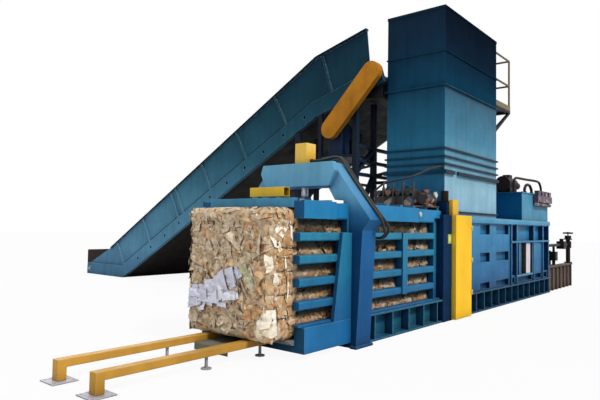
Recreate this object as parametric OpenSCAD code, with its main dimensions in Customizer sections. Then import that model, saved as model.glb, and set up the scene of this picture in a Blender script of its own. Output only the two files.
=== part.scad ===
// Horizontal automatic baler for waste paper, with an inclined feed conveyor.
// X runs along the machine: the bale leaves at the -X end, the ram pushes towards it.
// Y = 0 is the middle of the bale channel, +Y is the conveyor's side, Z = 0 is the floor.
// X = 0 lies between the feet of the portal frame that carries the roof clamp.

/* [Bale] */
// Width of a bale
bale_w = 1120; // [1000:10:1200]
// Height of a bale
bale_h = 1200; // [1100:10:1260]
// Length of the finished bale
bale_l = 1540; // [1350:10:1700]
// How far the finished bale stands out of the mouth
bale_out = 300; // [200:10:500]
// Radius of the bale's long edges
bale_edge_r = 45; // [20:5:80]

/* [Bale channel] */
// From the origin forward to the mouth
mouth_l = 940; // [900:10:1040]
// From the origin back to the tying unit
channel_l = 1900; // [1700:10:2000]
// Free space on each side of a bale
side_gap = 10; // [5:1:20]
// Free space between a bale and the roof
roof_gap = 4; // [2:1:8]
// Height of the channel floor above the ground
floor_top = 166; // [140:2:200]
// Thickness of the channel floor
floor_t = 46; // [30:2:60]
// Thickness of the side walls, across
wall_t = 78; // [60:2:100]
// Height of the roof plates
roof_t = 60; // [40:2:80]
// Height of the base beams
base_h = 290; // [260:5:320]
// How far the base flanges stand out from the walls
base_flange = 42; // [30:2:60]
// Number of slots in a side wall, one above the other
slot_count = 5; // [3:1:6]
// Height of each beam between two slots
beam_h = 80; // [60:2:110]
// Height of the sill under the lowest slot
sill_h = 20; // [10:2:80]
// Height of the box above the highest slot
head_h = 160; // [140:2:200]
// From the origin back to the middle post of a side wall
post_x = 905; // [800:5:1000]
// Width of the middle post
post_w = 110; // [60:2:140]
// Width of the recessed post in front of the tying unit
end_post_w = 174; // [120:2:240]
// Edge bevel of the slots
slot_bevel = 12; // [4:1:20]
// Free height under the base at the mouth
mouth_lift = 55; // [30:5:80]

/* [Portal and clamp] */
// From the origin forward to the portal's front face
portal_front = 180; // [150:10:220]
// Length of the portal along the machine
portal_l = 250; // [220:10:300]
// Depth of the box beam in front of the portal's top
crosshead_l = 70; // [50:5:100]
// Height of the portal above the channel's roof
portal_rise = 440; // [410:10:520]
// Height of the portal's top beam
portal_beam_h = 250; // [200:10:280]
// Half width of the portal across its top
portal_top_half = 430; // [380:10:460]
// How far the portal's shoulder stands out from the wall
portal_shoulder = 257; // [230:1:280]
// Height of the portal's shoulder
portal_shoulder_z = 1275; // [1250:5:1330]
// How far the portal's leg stands out from the wall under the shoulder
leg_out = 167; // [150:1:200]
// How far the portal's foot stands out from the wall
foot_out = 107; // [90:1:140]
// Half length of the bar across the clamp roof
roof_bar_half = 232; // [180:2:300]
// Radius of the clamp cylinder's rod
clamp_rod_r = 40; // [30:1:50]
// Width of the yellow cylinder cover
cover_w = 160; // [150:2:200]
// Height of the yellow cylinder cover
cover_h = 230; // [215:5:300]

/* [Tying unit] */
// Length of the tying frame along the machine
column_l = 450; // [380:10:500]
// Length of the yellow wire guard
guard_l = 510; // [420:10:560]
// Height of the yellow wire guard
guard_h = 1370; // [1250:10:1400]
// Depth of the yellow wire guard
guard_d = 66; // [50:2:80]
// Thickness of the guard's sheet
guard_t = 5; // [3:1:8]
// Radius of the twister shaft
twister_r = 20; // [16:1:24]
// Height of a needle
needle_h = 30; // [20:2:40]
// Thickness of a needle
needle_t = 20; // [12:2:24]

/* [Press] */
// Length of the ram
ram_l = 2100; // [2050:10:2300]
// Thickness of the ram's platen
platen_t = 110; // [100:5:140]
// Depth of the wire slots in the platen
wire_slot_d = 75; // [70:1:85]
// Radius of the main cylinder's rod
rod_r = 80; // [60:2:90]
// Outer radius of the main cylinder
barrel_r = 150; // [140:2:170]
// Wall of the main cylinder
barrel_t = 40; // [25:1:50]
// Thickness of the press box's rear wall
rear_t = 100; // [80:5:120]
// Thickness of the press deck
deck_t = 25; // [16:1:40]
// Depth of the pockets in the press walls
pocket_d = 60; // [40:2:70]
// Length of the inspection window
window_l = 840; // [600:10:900]
// Height of the inspection window
window_h = 550; // [400:10:600]
// Length of the rear frame
rear_frame_l = 1800; // [1790:10:2300]
// Height of the rear frame
rear_frame_h = 500; // [440:10:610]

/* [Feed hopper] */
// Length of the hopper along the machine
hopper_l = 1986; // [1800:10:2030]
// Width of the hopper across the machine
hopper_w = 928; // [860:4:1000]
// Height of the hopper's flanged joint
seam_z = 3229; // [3150:10:3250]
// Height of the hopper's upper rim
hopper_top = 4372; // [4330:10:4600]
// Thickness of the hopper's sheet
sheet_t = 8; // [5:1:12]
// Height of the service platform
platform_z = 3300; // [3295:5:3350]
// Length of the service platform
platform_l = 687; // [650:10:800]
// Height of the hand rail above the platform
rail_h = 900; // [850:10:1100]
// Width of the access door
door_w = 560; // [480:10:580]
// Height left between the access door and the hopper's rim
door_rim = 262; // [160:2:320]

/* [Oil tank] */
// Length of the oil tank
tank_l = 1540; // [1300:10:1600]
// Height of the oil tank
tank_h = 500; // [400:10:600]

/* [Conveyor] */
// Width of the conveyor over its beams
conveyor_w = 2440; // [2300:10:2500]
// Width of a conveyor beam
cbeam_w = 80; // [60:2:100]
// Half depth of a conveyor beam
cbeam_half = 127; // [125:1:140]
// Height of the side wall above the belt line, low end
cwall_low = 690; // [600:10:760]
// Height of the side wall above the belt line, high end
cwall_high = 780; // [650:10:840]
// Radius of the belt round its drums
belt_r = 80; // [70:1:85]
// Thickness of the belt
belt_t = 12; // [8:1:14]
// Height of the cleats on the belt
cleat_h = 32; // [20:1:36]
// Distance between two cleats
cleat_pitch = 400; // [250:10:600]
// Distance between two ribs of the side wall
crib_pitch = 1075; // [900:5:1200]
// Distance between two holes in a conveyor beam
chole_pitch = 520; // [400:5:600]
// Radius of the conveyor's shafts
cshaft_r = 40; // [30:1:45]
// Radius of the chain wheel on the head shaft
big_wheel_r = 115; // [100:1:118]
// Radius of the chain wheel on the gear motor
small_wheel_r = 70; // [60:1:90]
// Radius of the chain guard's round ends
chain_guard_r = 150; // [145:1:170]

/* [Bale rails] */
// Length of the bale rails in front of the base
bale_rail_l = 1790; // [1500:10:2200]
// Width of a bale rail
bale_rail_w = 80; // [60:2:100]
// Half the distance between the two bale rails
bale_rail_y = 263; // [220:1:320]
// Side of a foot plate
foot_w = 200; // [160:5:240]
// Distance between the anchor holes of a foot plate
foot_pitch = 150; // [120:5:150]

/* [Hidden] */
$fn = 48;

// Clearances
run_gap = 0.05;     // radial gap of a shaft in its bore
slide_gap = 0.3;    // gap under what slides on a flat face
ram_side_gap = 5;
knife_t = 25;
lug_gap = 2;

// Across the machine
in_half = bale_w / 2 + side_gap;
out_half = in_half + wall_t;
frame_half = out_half + base_flange;
web_t = 12;
web_half = in_half + web_t;
flange_t = 20;

// Heights
floor_bot = floor_top - floor_t;
roof_bot = floor_top + bale_h + roof_gap;
roof_top = roof_bot + roof_t;
slot_z0 = base_h + sill_h;
slot_z1 = roof_top - head_h;
slot_h = (slot_z1 - slot_z0 - (slot_count - 1) * beam_h) / slot_count;
slot_pitch = slot_h + beam_h;
function slot_bottom(i) = slot_z0 + i * slot_pitch;
function slot_mid(i) = slot_bottom(i) + slot_h / 2;
deck_top = roof_bot;
deck_bot = deck_top - deck_t;

// Along the machine
mouth_x = -mouth_l;
base_x0 = mouth_x + 30;
portal_x0 = -portal_front;
portal_x1 = portal_x0 + portal_l;
crosshead_x0 = portal_x0 - crosshead_l;
clamp_x = (crosshead_x0 + portal_x1) / 2;
tie_x0 = channel_l;
tie_x1 = tie_x0 + column_l;
fold_x0 = tie_x1 - 210;
guard_x1 = fold_x0 + guard_l;
hopper_x0 = tie_x1 + 77;
hopper_x1 = hopper_x0 + hopper_l;
hopper_y = hopper_w / 2;
hopper_mid = (hopper_x0 + hopper_x1) / 2;
ram_x0 = hopper_x1 + 30;
ram_x1 = ram_x0 + ram_l;
press_x1 = ram_x1 + 57 + rear_t;
needle_x = tie_x1 - 205;
next_bale_x1 = needle_x - 65;
ram_stroke = ram_x0 - needle_x + 35;
rear_x1 = press_x1 + rear_frame_l;

// Main cylinder
cyl_z = floor_top + bale_h / 2;
piston_t = 100;
gland_l = 80;
cap_t = 55;
piston_r = barrel_r - barrel_t;
flange_r = barrel_r + 80;
flange_l = 50;
piston_x1 = ram_x1 + 1847;
barrel_x1 = piston_x1 + 10 + cap_t;
barrel_x0 = piston_x1 - piston_t - ram_stroke - 27 - gland_l;

// Portal and clamp
shoulder_y = out_half + portal_shoulder;
leg_half = out_half + leg_out;
leg_foot_half = out_half + foot_out;
leg_top_z = portal_shoulder_z - 110;
portal_h = roof_top + portal_rise;
clamp_pin_z = roof_top + 50;
clamp_pin_r = 25;
clamp_eye_gap = 3;
hinge_x = portal_x1 + 370;
hinge_z = roof_top + 25;
hinge_r = 15;
hinge_lug_r = 32;
clamp_x1 = hinge_x - 25;
roof_x0 = hinge_x + 40;
clamp_barrel_r = cover_w / 2 - 12;
clamp_piston_r = clamp_barrel_r - 12;

// Tying unit
column_half = out_half + 52;
column_top = roof_top - 50;
tie_top = roof_top + 120;
bridge_x0 = tie_x1 - 250;
twister_x = tie_x1 - 120;
twister_y = -(column_half + web_half - 12) / 2;
cavity_x0 = tie_x1 - 228;
cavity_y0 = column_half - 8;
cavity_y1 = web_half - 4;
cavity_z0 = 330;
cavity_z1 = 1300;
needle_travel = 2 * in_half + 40;
needle_tip = in_half + 30;
carriage_y = needle_tip + needle_travel + 120;
carriage_t = 30;
hub_l = 90;
rodless_r = 30;
guide_r = 25;
rodless_z = slot_z1 + 85;
guide_z = slot_z0 - 40;
post_y = carriage_y + hub_l + 20;
guard_y = column_half;
guard_hinge_x = guard_x1 + 14;
guard_hinge_y = -(guard_y + guard_d + 3);
guard_pin_r = 8;
knuckle_r = 12;
guard_hinge_zs = [for (k = [0, 0.5, 1]) base_h + 12 + k * (guard_h - base_h - 200)];

// Conveyor: the belt line in the Y Z plane, from the tail shaft up to the head shaft
tail_p = [8350, cbeam_half];
low_p = [7033, cbeam_half];
bend_p = [1720, 3083];
head_p = [580, 3445];
belt_line = [tail_p, low_p, bend_p, head_p];
tail_end_y = 8450;
cx0 = hopper_mid - conveyor_w / 2;
cx1 = hopper_mid + conveyor_w / 2;
beam_end = 150;
drum_r = belt_r - belt_t - slide_gap;
cwall_t = 6;
motor_p = [1270, 2715];
platform2_z = 2310;
truss_top_z = platform2_z + 110;
truss_mid_z = platform2_z - 110;
truss_low_z = platform2_z - 320;
truss_base_z = platform2_z - 1060;
leg_w = 80;
leg_y = 860;
leg2_y = 2000;
guard_x0 = cx0 - 160;
guard_w = 100;

blue = [0.12, 0.38, 0.56];
dark_blue = [0.08, 0.22, 0.36];
yellow = [0.98, 0.80, 0.16];
gold = [0.88, 0.68, 0.25];
orange = [0.80, 0.52, 0.12];
brown = [0.35, 0.25, 0.20];
black = [0.08, 0.08, 0.09];
steel = [0.62, 0.64, 0.66];
board = [0.72, 0.60, 0.47];

// Box between two corners
module span(x0, x1, y0, y1, z0, z1) {
    translate([x0, y0, z0]) cube([x1 - x0, y1 - y0, z1 - z0]);
}
// Shape drawn in Y and Z, drawn out along X
module along_x(x0, x1) {
    translate([x0, 0, 0]) rotate([90, 0, 90]) linear_extrude(x1 - x0) children();
}
// Shape drawn in X and Z, drawn out along Y
module along_y(y0, y1) {
    translate([0, y1, 0]) rotate([90, 0, 0]) linear_extrude(y1 - y0) children();
}
// Round bar or bore along one axis
module bar_x(r, x0, x1, y, z) { translate([x0, y, z]) rotate([0, 90, 0]) cylinder(r = r, h = x1 - x0); }
module bar_y(r, y0, y1, x, z) { translate([x, y0, z]) rotate([-90, 0, 0]) cylinder(r = r, h = y1 - y0); }
module bar_z(r, z0, z1, x, y) { translate([x, y, z0]) cylinder(r = r, h = z1 - z0); }
module both_sides() {
    children();
    mirror([0, 1, 0]) children();
}
module round_rect(w, h, r) {
    translate([-w / 2 + r, 0]) square([w - 2 * r, h]);
    translate([-w / 2, r]) square([w, h - 2 * r]);
    for (x = [-w / 2 + r, w / 2 - r], z = [r, h - r]) translate([x, z]) circle(r);
}

// Smooth curve through points, and a tube along it
function unit(v) = v / norm(v);
function smooth_at(p, i, t) =
    let (a = p[max(i - 1, 0)], b = p[i], c = p[i + 1], d = p[min(i + 2, len(p) - 1)])
    0.5 * (2 * b + (c - a) * t + (2 * a - 5 * b + 4 * c - d) * t * t
        + (3 * b - 3 * c + d - a) * t * t * t);
function smooth(p, n) = concat(
    [for (i = [0 : len(p) - 2], j = [0 : n - 1]) smooth_at(p, i, j / n)], [p[len(p) - 1]]);
function heading(p, i) = unit(p[min(i + 1, len(p) - 1)] - p[max(i - 1, 0)]);
function side_of(t, n) = unit(n - t * (n * t));
function sides(p, i, n) = i == len(p) ? [] :
    let (s = side_of(heading(p, i), n)) concat([s], sides(p, i + 1, s));
module tube(points, r, n = 3, m = 8) {
    p = smooth(points, n);
    t0 = heading(p, 0);
    first = side_of(t0, abs(t0[2]) > 0.9 ? [1, 0, 0] : [0, 0, 1]);
    s = sides(p, 0, first);
    rings = [for (i = [0 : len(p) - 1], k = [0 : m - 1])
        let (a = 360 * k / m, b = cross(heading(p, i), s[i])) p[i] + r * (cos(a) * s[i] + sin(a) * b)];
    walls = [for (i = [0 : len(p) - 2], k = [0 : m - 1])
        let (q = (k + 1) % m) [i * m + k, (i + 1) * m + k, (i + 1) * m + q, i * m + q]];
    ends = [[for (k = [0 : m - 1]) k], [for (k = [m - 1 : -1 : 0]) (len(p) - 1) * m + k]];
    polyhedron(rings, concat(walls, ends), convexity = 6);
}

// Belt line moved sideways by d, with mitred corners
function seg(i) = unit(belt_line[i + 1] - belt_line[i]);
function up(i) = [seg(i)[1], -seg(i)[0]];
function corner(i, d) = i == 0 ? belt_line[0] + d * up(0)
    : i == len(belt_line) - 1 ? belt_line[i] + d * up(i - 1)
    : belt_line[i] + d * (up(i - 1) + up(i)) / (1 + up(i - 1) * up(i));
function shifted(d) = [for (i = [0 : len(belt_line) - 1]) corner(i, d)];
function reversed(a) = [for (i = [len(a) - 1 : -1 : 0]) a[i]];
module strip(d0, d1) { polygon(concat(shifted(d0), reversed(shifted(d1)))); }
// Height of the beams' underside at a place under the head section
function under_z(y) = corner(2, -cbeam_half)[1]
    + (corner(2, -cbeam_half)[0] - y) * seg(2)[1] / -seg(2)[0];

// Base: C beams on both sides, stiffeners, cover plates and cross members
module base_frame() color(blue) {
    difference() {
        union() {
            both_sides() {
                along_x(base_x0, press_x1) polygon([[in_half, 0], [frame_half, 0], [frame_half, flange_t],
                    [web_half, flange_t], [web_half, base_h - flange_t], [frame_half, base_h - flange_t],
                    [frame_half, base_h], [in_half, base_h]]);
                span(base_x0, portal_x0, frame_half - 10, frame_half, flange_t, base_h - flange_t);
                span(base_x0, portal_x0, in_half, frame_half, mouth_lift, mouth_lift + flange_t);
                span(base_x0, base_x0 + 10, web_half, frame_half, flange_t, base_h - flange_t);
                for (x = [portal_x1 + 200 : 370 : tie_x0 - 60])
                    span(x, x + 14, web_half, frame_half, flange_t, base_h - flange_t);
                for (x = [guard_x1 + 60 : 300 : press_x1])
                    span(x, x + 14, web_half, frame_half, flange_t, base_h - flange_t);
            }
            for (x = [base_x0, portal_x1 + 430, tie_x0 - 600, tie_x0 + 100, guard_x1 + 80,
                hopper_mid, ram_x0 + 100, ram_x1 - 800, press_x1 - rear_t])
                span(x, x + rear_t, -in_half, in_half, 0, floor_bot);
        }
        both_sides() {
            span(tie_x0, guard_x1, web_half, frame_half + 1, -1, base_h + 1);
            span(portal_x0, portal_x1, web_half, frame_half + 1, -1, base_h + 1);
            span(portal_x0, portal_x1, in_half - 1, web_half + 1, -1, floor_bot);
        }
        span(base_x0 - 1, portal_x0, -frame_half - 1, frame_half + 1, -1, mouth_lift);
    }
}
module channel_floor() color(steel)
    along_y(-in_half, in_half) polygon([[base_x0 - 20, floor_bot], [base_x0 - 50, floor_top - 25],
        [base_x0 - 40, floor_top], [press_x1 - rear_t, floor_top], [press_x1 - rear_t, floor_bot]]);

// Side wall of the channel: a slab with rows of slots that are open at the mouth. The middle post
// joins the inner beams only, and a gusset plate stands against the portal's leg
front_slot_x1 = portal_x0 - 120;
rear_slot_x0 = portal_x1 + 60;
end_post_x = tie_x0 - end_post_w;
cheek_x1 = portal_x0 - 270;
rear_cheek_x1 = end_post_x - 490;
cheek_top = roof_top + 8;
function outer_row(i) = i == 0 || i == slot_count - 1;
// Where the slots of one row start and end
function slot_runs(i) = concat([[mouth_x - 1, i == slot_count - 1 ? portal_x0 - 20 : front_slot_x1]],
    outer_row(i) ? [[rear_slot_x0, end_post_x]]
        : [[rear_slot_x0, post_x], [post_x + post_w, end_post_x]]);
module slot_cut(x0, x1, z0, z1) {
    e = slot_bevel;
    along_x(x0, x1) polygon([[in_half - 1, z0], [out_half - e, z0], [out_half + 1, z0 - e - 1],
        [out_half + 1, z1 + e + 1], [out_half - e, z1], [in_half - 1, z1]]);
}
module channel_wall() {
    difference() {
        span(mouth_x, tie_x0, in_half, out_half, base_h, roof_top);
        for (i = [0 : slot_count - 1], r = slot_runs(i))
            slot_cut(r[0], r[1], slot_bottom(i), slot_bottom(i) + slot_h);
        span(end_post_x + 14, tie_x0 + 1, out_half - 50, out_half + 1, base_h + 20, slot_z1 + 60);
    }
    span(post_x, post_x + post_w, out_half - 1, out_half + 18, slot_bottom(1) - beam_h, slot_z1 - slot_h);
    for (x = [[mouth_x, cheek_x1], [portal_x1 + 40, rear_cheek_x1]])
        span(x[0], x[1], out_half, frame_half, slot_z1, cheek_top);
    bar_y(30, out_half - 1, out_half + 30, rear_cheek_x1 + 64, slot_z1 + head_h * 0.6);
    along_y(out_half, frame_half) polygon([[front_slot_x1 - 165, base_h], [portal_x0, base_h],
        [portal_x0, slot_z1 - slot_h], [front_slot_x1 - 35, slot_z1 - slot_h]]);
}
module channel_wall_near() color(blue) mirror([0, 1, 0]) channel_wall();
module channel_wall_far() color(blue) channel_wall();

// Hinge lugs, drawn in X and Z; side is -1 towards the mouth and 1 towards the press
module hinge_lug(side) {
    reach = side < 0 ? hinge_x - clamp_x1 : roof_x0 - hinge_x;
    difference() {
        union() {
            translate([hinge_x, hinge_z]) circle(hinge_lug_r);
            polygon([[hinge_x, hinge_z + hinge_lug_r], [hinge_x, hinge_z - hinge_lug_r + 6],
                [hinge_x + side * reach, roof_top], [hinge_x + side * (reach + 90), roof_top]]);
        }
        if (side < 0) translate([hinge_x, hinge_z]) circle(hinge_r + run_gap);
    }
}
hinge_ys = [-400, 400];
lug_t = 28;
module channel_roof() color(blue) {
    span(roof_x0, hopper_x0, -in_half, in_half, roof_bot, roof_top);
    for (x = [roof_x0 + 200 : 320 : tie_x0 + 60])
        span(x, x + 60, -in_half, in_half, roof_top, roof_top + 40);
    for (y = hinge_ys) {
        for (s = [-1, 1])
            translate([0, y + s * (lug_t + lug_gap), 0]) along_y(-lug_t / 2, lug_t / 2) hinge_lug(1);
        bar_y(hinge_r, y - 1.5 * lug_t - lug_gap, y + 1.5 * lug_t + lug_gap, hinge_x, hinge_z);
    }
}
module clamp_roof() color(blue) {
    w = in_half - 4;
    span(mouth_x, clamp_x1, -w, w, roof_bot, roof_top);
    for (x = [mouth_x, portal_x0 - 220, portal_x1 + 150])
        span(x, x + 50, -w, w, roof_top, roof_top + 30);
    for (y = hinge_ys)
        translate([0, y, 0]) along_y(-lug_t / 2, lug_t / 2) hinge_lug(-1);
    for (s = [-1, 1])
        translate([clamp_x, s * 50, 0]) along_y(-14, 14) {
            translate([-70, roof_top]) square([140, 20]);
            translate([0, clamp_pin_z]) circle(42);
            translate([-42, roof_top]) square([84, 50]);
        }
    bar_y(clamp_pin_r, -40, 40, clamp_x, clamp_pin_z);
    for (y = [-150, 150]) span(roof_bar_x + 15, roof_bar_x + 75, y - 20, y + 20, roof_top, roof_top + 60);
}
roof_bar_x = portal_x0 - 525;
module roof_cross_bar() color(yellow) difference() {
    span(roof_bar_x, roof_bar_x + 90, -roof_bar_half, roof_bar_half, roof_top + 60, roof_top + 155);
    span(roof_bar_x + 6, roof_bar_x + 84, -roof_bar_half - 1, roof_bar_half + 1,
        roof_top + 66, roof_top + 149);
}

// Portal: one hoop round the channel with slanted arms, knuckled shoulders and leaning legs, and a
// box beam in front of its top
arm_z = portal_h - portal_beam_h;
arm_foot_z = roof_top + 45;
arm_slope = 0.64;
function arm_in(z) = portal_top_half - 50 + (arm_z - z) * arm_slope;
function mirrored(a) = concat(a, [for (i = [len(a) - 1 : -1 : 0]) [-a[i][0], a[i][1]]]);
module portal_frame() color(blue) {
    difference() {
        union() {
            along_x(portal_x0, portal_x1) difference() {
                polygon(mirrored([[portal_top_half, portal_h], [shoulder_y, portal_shoulder_z],
                    [leg_half, leg_top_z], [leg_foot_half, 0]]));
                polygon(mirrored([[arm_in(arm_z), arm_z], [arm_in(arm_foot_z), arm_foot_z],
                    [in_half + 10, arm_foot_z], [in_half + 10, roof_top], [out_half, roof_top],
                    [out_half, base_h], [web_half, base_h], [web_half, floor_bot]]));
            }
            along_x(crosshead_x0, portal_x0) polygon(mirrored([[portal_top_half + 50, portal_h],
                [portal_top_half + 85, portal_h - 95], [portal_top_half + 10, arm_z]]));
            both_sides()
                span(portal_x0 - 30, portal_x1 + 30, leg_foot_half - 55, leg_foot_half + 20, 0, 25);
        }
        bar_z(clamp_rod_r + 8, arm_z - 1, portal_h + 1, clamp_x, 0);
    }
}
module clamp_cylinder() color(black) translate([clamp_x, 0, portal_h]) difference() {
    foot = cover_w / 2 - 8;
    union() {
        bar_z(clamp_barrel_r, 0, cover_h - 25, 0, 0);
        span(-foot, foot, -foot, foot, 0, 18);
    }
    bar_z(clamp_rod_r + run_gap, -1, 41, 0, 0);
    bar_z(clamp_piston_r + run_gap, 40, cover_h - 40, 0, 0);
}
module cylinder_cover() color(yellow) translate([clamp_x, 0, portal_h]) difference() {
    half = cover_w / 2;
    span(-half, half, -half, half, 0, cover_h);
    span(6 - half, half - 6, 6 - half, half - 6, -1, cover_h - 6);
}
module clamp_rod() color(steel) translate([clamp_x, 0, 0]) {
    piston_z = portal_h + 90;
    difference() {
        union() {
            bar_y(clamp_pin_r + 22, -32, 32, 0, clamp_pin_z);
            bar_z(clamp_rod_r - 12, clamp_pin_z + 30, clamp_pin_z + 52, 0, 0);
            bar_z(clamp_rod_r, clamp_pin_z + 50, piston_z, 0, 0);
            bar_z(clamp_piston_r, piston_z, piston_z + 40, 0, 0);
        }
        bar_y(clamp_pin_r + clamp_eye_gap, -33, 33, 0, clamp_pin_z);
    }
}

// Two pressure hoses, from the cylinder along the slanted arm and round the shoulder to ports in the wall
hose_r = 13;
port_z = slot_z1 - slot_h - 50;
arm_top = [-portal_top_half, portal_h];
arm_end = [-shoulder_y, portal_shoulder_z];
arm_n = [arm_end[1] - arm_top[1], arm_top[0] - arm_end[0]] / norm(arm_end - arm_top);
function on_arm(x, t, gap = 3) =
    let (q = arm_top + t * (arm_end - arm_top) + (hose_r + gap) * arm_n) [x, q[0], q[1]];
function portal_hose(x, d) = [[clamp_x + d, -cover_w / 2 - 20, portal_h + 40],
    [clamp_x + d + 25, -cover_w / 2 - 120, portal_h + 44], on_arm(x, -0.1), on_arm(x, 0.2),
    on_arm(x, 0.5), on_arm(x, 0.8), on_arm(x + 5, 0.98, 9),
    [x + 45 + d, -shoulder_y - 24, portal_shoulder_z - 75],
    [portal_x1 + 60 + d, -shoulder_y + 20, port_z + 45], [portal_x1 + 85 + d, -leg_half, port_z],
    [portal_x1 + 90 + d, -out_half - 30, port_z]];
module portal_hoses() color(black) for (d = [0, 45]) {
    tube(portal_hose(portal_x1 - 75 + d, d), hose_r);
    bar_y(20, -cover_w / 2 - 24, -cover_w / 2, clamp_x + d, portal_h + 40);
    bar_y(20, -out_half - 35, -out_half, portal_x1 + 90 + d, port_z);
}

// Tying unit: frame with needle slots on both sides and a cavity for the twister
module tying_frame() color(dark_blue) difference() {
    along_x(tie_x0, tie_x1) polygon([[-column_half, 0], [-column_half, column_top],
        [-out_half, column_top], [-out_half, tie_top], [column_half, tie_top], [column_half, 0],
        [web_half, 0], [web_half, base_h], [in_half, base_h], [in_half, roof_top],
        [-in_half, roof_top], [-in_half, base_h], [-web_half, base_h], [-web_half, 0]]);
    span(tie_x0 - 1, bridge_x0, -column_half - 1, column_half + 1, column_top, tie_top + 1);
    span(cavity_x0, tie_x1 + 1, -cavity_y0, -cavity_y1, cavity_z0, cavity_z1);
    bar_z(twister_r + run_gap, cavity_z0 - 25, cavity_z1 + 25, twister_x, twister_y);
    for (i = [0 : slot_count - 1], s = [-1, 1])
        span(needle_x - 20, needle_x + 20, s > 0 ? in_half - 1 : -cavity_y1 - 1,
            s > 0 ? column_half + 1 : -in_half + 1, slot_mid(i) - needle_h, slot_mid(i) + needle_h);
}
module twister_shaft() color(steel) difference() {
    union() {
        bar_z(twister_r, cavity_z0 - 24, cavity_z1 + 24, twister_x, twister_y);
        for (i = [0 : slot_count - 1]) {
            bar_z(44, slot_mid(i) - 12, slot_mid(i) + 12, twister_x, twister_y);
            bar_z(32, slot_mid(i) - 30, slot_mid(i) + 30, twister_x, twister_y);
        }
    }
    for (i = [0 : slot_count - 1], a = [45, 225])
        translate([twister_x, twister_y, slot_mid(i)]) rotate([0, 0, a])
            translate([22, -4, -13]) cube([30, 8, 26]);
}
module twister_motor() color(black) {
    bar_z(52, tie_top + 20, tie_top + 160, twister_x, -out_half + 90);
    span(twister_x - 70, twister_x + 70, -out_half + 20, -out_half + 160, tie_top, tie_top + 20);
}
module needle_carriage() color(steel) {
    difference() {
        union() {
            span(needle_x - 20, needle_x + 20, carriage_y, carriage_y + carriage_t, guide_z, rodless_z);
            bar_y(45, carriage_y, carriage_y + hub_l, needle_x, rodless_z);
            bar_y(40, carriage_y, carriage_y + hub_l, needle_x, guide_z);
        }
        bar_y(rodless_r + run_gap, carriage_y - 1, carriage_y + hub_l + 1, needle_x, rodless_z);
        bar_y(guide_r + run_gap, carriage_y - 1, carriage_y + hub_l + 1, needle_x, guide_z);
    }
    for (i = [0 : slot_count - 1])
        translate([0, 0, slot_mid(i)]) rotate([0, 90, 0]) translate([0, 0, needle_x - needle_t / 2])
            linear_extrude(needle_t) polygon([[-needle_h / 2, carriage_y],
                [-needle_h / 2, needle_tip + 60], [-4, needle_tip], [4, needle_tip],
                [needle_h / 2, needle_tip + 60], [needle_h / 2, carriage_y]]);
}
// Rodless cylinder and guide bar of the needles, with the post that holds their ends
module needle_frame() color(steel) {
    bar_y(rodless_r, column_half, post_y, needle_x, rodless_z);
    bar_y(guide_r, column_half, post_y, needle_x, guide_z);
    span(needle_x - 45, needle_x + 45, post_y, post_y + 40, 0, rodless_z + 60);
    span(needle_x - 45, needle_x + 45, post_y - 60, post_y + 120, 0, 15);
}

// Yellow guard: a folded sheet door on three knuckles at its rear edge
module wire_guard() color(yellow) difference() {
    union() {
        difference() {
            span(fold_x0, guard_x1, -guard_y - guard_d, -guard_y - 2, 10, 10 + guard_h);
            span(fold_x0 + guard_t, guard_x1 - guard_t, -guard_y - guard_d + guard_t, -guard_y,
                10 + guard_t, 10 + guard_h - guard_t);
        }
        for (z = guard_hinge_zs) {
            bar_z(knuckle_r, z + 31, z + 60, guard_hinge_x, guard_hinge_y);
            span(guard_x1 - 30, guard_hinge_x - 9, guard_hinge_y - 2, -guard_y - guard_d + 0.01,
                z + 31, z + 60);
        }
    }
    for (z = guard_hinge_zs) bar_z(guard_pin_r + run_gap, z + 30, z + 61, guard_hinge_x, guard_hinge_y);
}
module guard_hinges() color(steel) for (z = guard_hinge_zs) {
    bar_z(knuckle_r, z, z + 30, guard_hinge_x, guard_hinge_y);
    span(guard_hinge_x - 3, guard_hinge_x + 5, guard_hinge_y + 6, -out_half, z, z + 30);
    bar_z(guard_pin_r, z + 29, z + 66, guard_hinge_x, guard_hinge_y);
}
module wire_box() color(yellow) difference() {
    span(tie_x1 - 180, tie_x1, -column_half - 2, -out_half, column_top, column_top + 208);
    span(tie_x1 - 160, tie_x1 + 1, -column_half + 6, -out_half - 8, column_top + 20, column_top + 188);
}
module wire_guide_bar() color(steel) difference() {
    span(tie_x1 + 180, tie_x1 + 220, -out_half - 40, -out_half, base_h + 20,
        slot_mid(slot_count - 1) + 44);
    for (i = [0 : slot_count - 1])
        bar_x(8, tie_x1 + 179, tie_x1 + 221, -out_half - 25, slot_mid(i));
}

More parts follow.
